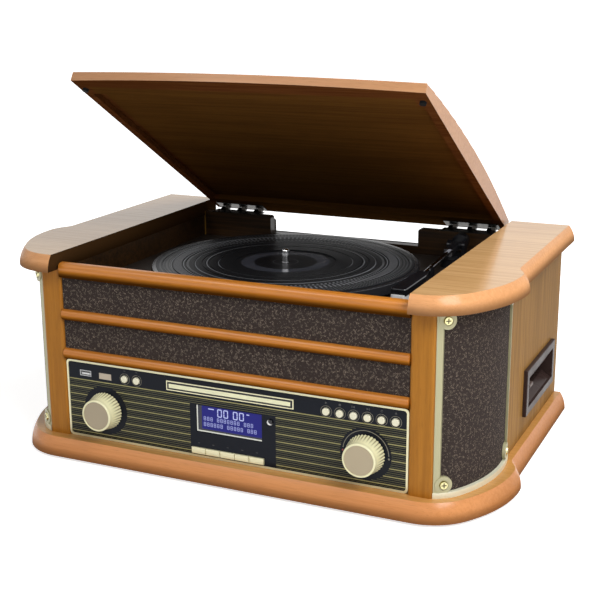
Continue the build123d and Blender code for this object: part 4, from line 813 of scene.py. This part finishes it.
strong_heights = []
fine_heights = []
height = top_line_z
while height > panel_low.z + trim_width:
    strong_heights.append(height)
    for step in range(1, fine_lines + 1):
        fine_heights.append(height - line_pitch * step / (fine_lines + 1))
    height -= line_pitch
fine_heights = [z for z in fine_heights if z > panel_low.z + trim_width]
printed_lines("panel_lines", strong_heights, line_width,
              mottled("line_gold", (0.36, 0.33, 0.14), 0.35, specular=0.2))
printed_lines("panel_fine_lines", fine_heights, fine_line_width,
              mottled("line_olive", (0.125, 0.120, 0.055), 0.45, specular=0.2))

# Display: a lit screen up to the window's top and right edges, and a silvery edge left and below
window_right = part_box("panel_windows")[1].x
window_low = (window_right - window_width, window_top - window_height)
display_y = panel_y + display_sink
screen_low = [low + margin for low, margin in zip(window_low, screen_margin)]
screen_high = (window_right - screen_clearance, window_top - screen_clearance)
screen_mesh = bmesh.new()
block(screen_mesh, (screen_low[0], display_y - screen_thickness, screen_low[1]),
      (screen_high[0], display_y, screen_high[1]))
piece("display_screen", screen_mesh, glowing("screen_blue", (0.022, 0.022, 0.20), 0.8))

bevel_x, bevel_z = (low + margin for low, margin in zip(window_low, bevel_margin))
bevel_y = display_y - bevel_thickness
bevel_mesh = bmesh.new()
block(bevel_mesh, (bevel_x, bevel_y, bevel_z + bevel_width),
      (bevel_x + bevel_width, display_y, screen_high[1]))
block(bevel_mesh, (bevel_x, bevel_y, bevel_z),
      (screen_high[0], display_y, bevel_z + bevel_width))
piece("display_bevel", bevel_mesh, brushed("bevel_silver", (0.55, 0.56, 0.50), "X", 0.3))

figure_y = display_y - screen_thickness
segments = {"0": "abcdef", "8": "abcdefg"}


def lit_bar(mesh, x_low, z_low, x_high, z_high):
    block(mesh, (x_low, figure_y - figure_thickness, z_low), (x_high, figure_y, z_high))


def figure(mesh, digit, x, z, size):
    """A seven-segment digit whose lower left corner is at x, z."""
    width, height, stroke = size
    middle = z + height / 2
    gap = stroke * 0.6
    bars = {
        "a": (x + gap, z + height - stroke, x + width - gap, z + height),
        "b": (x + width - stroke, middle + gap / 3, x + width, z + height - gap),
        "c": (x + width - stroke, z + gap, x + width, middle - gap / 3),
        "d": (x + gap, z, x + width - gap, z + stroke),
        "e": (x, z + gap, x + stroke, middle - gap / 3),
        "f": (x, middle + gap / 3, x + stroke, z + height - gap),
        "g": (x + gap, middle - stroke / 2, x + width - gap, middle + stroke / 2),
    }
    for name in segments[digit]:
        lit_bar(mesh, *bars[name])


# The clock's four figures, a small mark either side, and two dimmer rows of small figures
figures_mesh = bmesh.new()
clock_x = screen_low[0] + clock_start[0]
clock_z = screen_high[1] - clock_start[1]
for index, digit in enumerate("0000"):
    start_x = clock_x + index * clock_pitch + (colon_gap if index > 1 else 0.0)
    figure(figures_mesh, digit, start_x, clock_z, clock_size)
for offset, width in clock_marks:
    lit_bar(figures_mesh, clock_x + offset, clock_z + clock_mark_z[0],
            clock_x + offset + width, clock_z + clock_mark_z[1])
piece("display_figures", figures_mesh, glowing("figure_white", (0.50, 0.54, 0.88), 0.9))
rows_mesh = bmesh.new()
for row, pattern in enumerate(("888 8888888 888", "888888 88888 888")):
    row_z = screen_high[1] - row_start[1] - row_pitch * row
    for index, digit in enumerate(pattern):
        if digit != " ":
            start_x = screen_low[0] + row_start[0] + index * letter_pitch
            figure(rows_mesh, digit, start_x, row_z, row_size)
piece("display_rows", rows_mesh, glowing("figure_dim", (0.36, 0.39, 0.72), 0.9))

# Knob faces: flat taupe discs, the left one painted a little darker as shade
face_taupes_with_shade = {"left_knob": (0.34, 0.28, 0.19), "right_knob": (0.40, 0.33, 0.22)}
for name, centre in knob_centres.items():
    face_mesh = bmesh.new()
    face_y = [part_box(name)[0].y + depth for depth in knob_face_depths]
    facing_prism(face_mesh, circle_points(centre, knob_face_radius, face_steps), *face_y)
    face_taupe = mottled(f"{name}_taupe", face_taupes_with_shade[name], 0.35, metallic=0.3)
    piece(f"{name}_face", face_mesh, face_taupe, name)

# Right-hand dial: a thin arc over the knob, a pale dot at its right end and a red one at its left
dial = knob_centres["right_knob"]
# A pale print colour, also used for the painted highlights round the buttons
pale_print_and_highlight = mottled("pale_print_and_highlight", (0.30, 0.28, 0.22), 0.4, specular=0.2)
dial_mesh = bmesh.new()
printed(dial_mesh, arc_band(dial, dial_radii, *dial_span, dial_steps))
printed(dial_mesh, circle_points(dial + pale_dot_place, dial_dot_radius, dot_steps))
piece("dial_arc", dial_mesh, pale_print_and_highlight)
red_mesh = bmesh.new()
printed(red_mesh, circle_points(dial + red_dot_place, dial_dot_radius, dot_steps))
piece("dial_point", red_mesh, mottled("mark_red", (0.30, 0.03, 0.03), 0.4))

# Small generic signs above the player's buttons, and plain dashes above the source and band
# buttons and the keys, drawn in shares of half a sign's size
half = sign_size / 2
square = [(-half, -half), (half, -half), (half, half), (-half, half)]
rightward = [(-half, -half), (half, 0.0), (-half, half)]
leftward = [(-x, z) for x, z in reversed(rightward)]
upward = [(-half, -half * 0.3), (half, -half * 0.3), (0.0, half)]
bar_left = [(-half * 1.8, -half), (-half * 1.3, -half), (-half * 1.3, half), (-half * 1.8, half)]
bar_right = [(-x, z) for x, z in reversed(bar_left)]
bar_below = [(-half, -half), (half, -half), (half, -half * 0.65), (-half, -half * 0.65)]
loop_outer = [(half * cos(step * pi / 8), half * sin(step * pi / 8)) for step in range(15)]
loop_inner = [(x * 0.6, z * 0.6) for x, z in reversed(loop_outer)]
dash = [(x, z * 0.2) for x, z in square]
signs = {
    "play_button": (rightward,),
    "stop_button": (square,),
    "previous_button": (leftward, bar_left),
    "next_button": (rightward, bar_right),
    "repeat_button": (loop_outer + loop_inner,),
    "eject_button": (upward, bar_below),
}
for name in ("source_button", "band_button", "menu_key", "info_key", "scan_key", "preset_key",
             "select_key"):
    signs[name] = (dash,)
sign_mesh = bmesh.new()
for name, outlines in signs.items():
    centre_x = box_centre(name).x
    centre_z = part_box(name)[1].z + sign_gap
    for outline in outlines:
        printed(sign_mesh, [(centre_x + x, centre_z + z) for x, z in outline])
piece("button_signs", sign_mesh, mottled("mark_grey", (0.09, 0.09, 0.09), 0.5, specular=0.2))

# Painted highlights on the edges round the holes of buttons with a sign or a dash, as two half
# rings
ring_mesh = bmesh.new()
for name in signs:
    if name.endswith("_button"):
        for start in (0.0, pi):
            printed(ring_mesh, arc_band(box_centre(name), button_highlight_radii, start, start + pi,
                                        half_ring_steps))
piece("button_ring_highlights", ring_mesh, pale_print_and_highlight)

# Socket tongue: the white carrier of the contacts, low in the metal shell
low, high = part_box("usb_socket")
tongue_mesh = bmesh.new()
block(tongue_mesh, (low.x + tongue_margin[0], low.y + tongue_margin[1], low.z + tongue_z[0]),
      (high.x - tongue_margin[0], high.y - tongue_margin[1], low.z + tongue_z[1]))
piece("usb_tongue", tongue_mesh, mottled("tongue_white", (0.8, 0.8, 0.8), 0.4))

# Cross recesses of the grilles' screws, as thin dark crosses of painted shade on their heads
recess_shade_mesh = bmesh.new()
for side in (-1, 1):
    for outward_x, outward_y in screw_directions:
        outward = Vector((side * outward_x, outward_y, 0.0))
        across = Vector((-outward.y, outward.x, 0.0))
        turn = Matrix((across, outward, Vector((0.0, 0.0, 1.0)))).transposed().to_4x4()
        for upper in (False, True):
            near = [corner.co for corner in nodes["grille_screws"].data.vertices
                    if corner.co.x * side > 0 and (corner.co.z > screw_split_z) == upper
                    and (corner.co.y < screw_split_y) == (outward_y < -0.5)]
            centre = sum(near, Vector()) / len(near)
            face = max(point.dot(outward) for point in near)
            centre += outward * (face - centre.dot(outward))
            for length, width in ((cross_length, cross_width), (cross_width, cross_length)):
                place = (Matrix.Translation(centre) @ turn
                         @ Matrix.Diagonal((length, cross_thickness, width, 1.0)))
                bmesh.ops.create_cube(recess_shade_mesh, size=1.0, matrix=place)
piece("screw_recess_shades", recess_shade_mesh, mottled("recess_painted_shade", (0.10, 0.08, 0.04), 0.5, metallic=0.6))


# Room: a wide pale floor that turns white away from the object, and a white surround
def clear_rays(tree):
    """One for camera, glossy and transmission rays, and nought for the light on the object."""
    rays = tree.nodes.new("ShaderNodeLightPath")
    value = rays.outputs["Is Camera Ray"]
    for name in ("Is Glossy Ray", "Is Transmission Ray"):
        either = tree.nodes.new("ShaderNodeMath")
        either.operation = "MAXIMUM"
        tree.links.new(value, either.inputs[0])
        tree.links.new(rays.outputs[name], either.inputs[1])
        value = either.outputs[0]
    return value


def floor_shading(name):
    s = Shading(name, roughness=0.7, specular=0.2)
    dust = s.noise((200.0,) * 3, detail=2.0)
    s.set("Base Color", s.mix(dust, (0.82, 0.82, 0.82), (0.88, 0.88, 0.88)))
    x, y, _ = s.parts(s.point())
    whitening = s.between(s.diagonal(x, y), *floor_fade, floor_glow, 1.0)
    s.set("Emission Color", (1.0, 1.0, 1.0, 1.0))
    s.set("Emission Strength", s.math("MULTIPLY", whitening, clear_rays(s.tree)))
    return s.material


floor_mesh = bmesh.new()
bmesh.ops.create_grid(floor_mesh, x_segments=1, y_segments=1, size=floor_reach)
mesh_object("floor", floor_mesh, floor_shading("floor_pale"))

world = bpy.data.worlds.new("surround")
bpy.context.scene.world = world
world.use_nodes = True
surround = world.node_tree
surround.nodes.clear()
choice = surround.nodes.new("ShaderNodeMixShader")
surround.links.new(clear_rays(surround), choice.inputs[0])
for color, strength, socket in ((surround_tint, surround_light, choice.inputs[1]),
                                ((1.0, 1.0, 1.0), 1.0, choice.inputs[2])):
    background = surround.nodes.new("ShaderNodeBackground")
    background.inputs["Color"].default_value = (*color, 1.0)
    background.inputs["Strength"].default_value = strength
    surround.links.new(background.outputs[0], socket)
shown = surround.nodes.new("ShaderNodeOutputWorld")
surround.links.new(choice.outputs[0], shown.inputs["Surface"])


def softbox(name, place, target, size, power):
    light = bpy.data.lights.new(name, "AREA")
    light.shape = "SQUARE"
    light.size = size
    light.energy = power
    lamp = added(name, light)
    lamp.location = place
    lamp.rotation_euler = (Vector(target) - Vector(place)).to_track_quat("-Z", "Y").to_euler()


softbox("key_light", place=(0.95, -0.70, 1.05), target=(0.0, -0.1, 0.1), size=0.7, power=13.0)
softbox("wing_light", place=(0.50, 0.0, 1.0), target=(0.2, 0.0, 0.2), size=0.5, power=4.5)
softbox("front_fill", place=(-0.60, -1.05, 1.2), target=(0.0, -0.1, 0.1), size=0.5, power=4.5)

camera_data = bpy.data.cameras.new("camera")
camera_data.lens = camera_lens
camera_data.sensor_width = camera_sensor
camera = added("camera", camera_data)
camera.matrix_world = (
    Matrix.Translation(camera_place)
    @ Matrix.Rotation(camera_yaw, 4, "Z")
    @ Matrix.Rotation(pi / 2 - camera_pitch, 4, "X")
    @ Matrix.Rotation(camera_roll, 4, "Z")
)
bpy.context.scene.camera = camera
bpy.context.scene.view_settings.view_transform = "Standard"
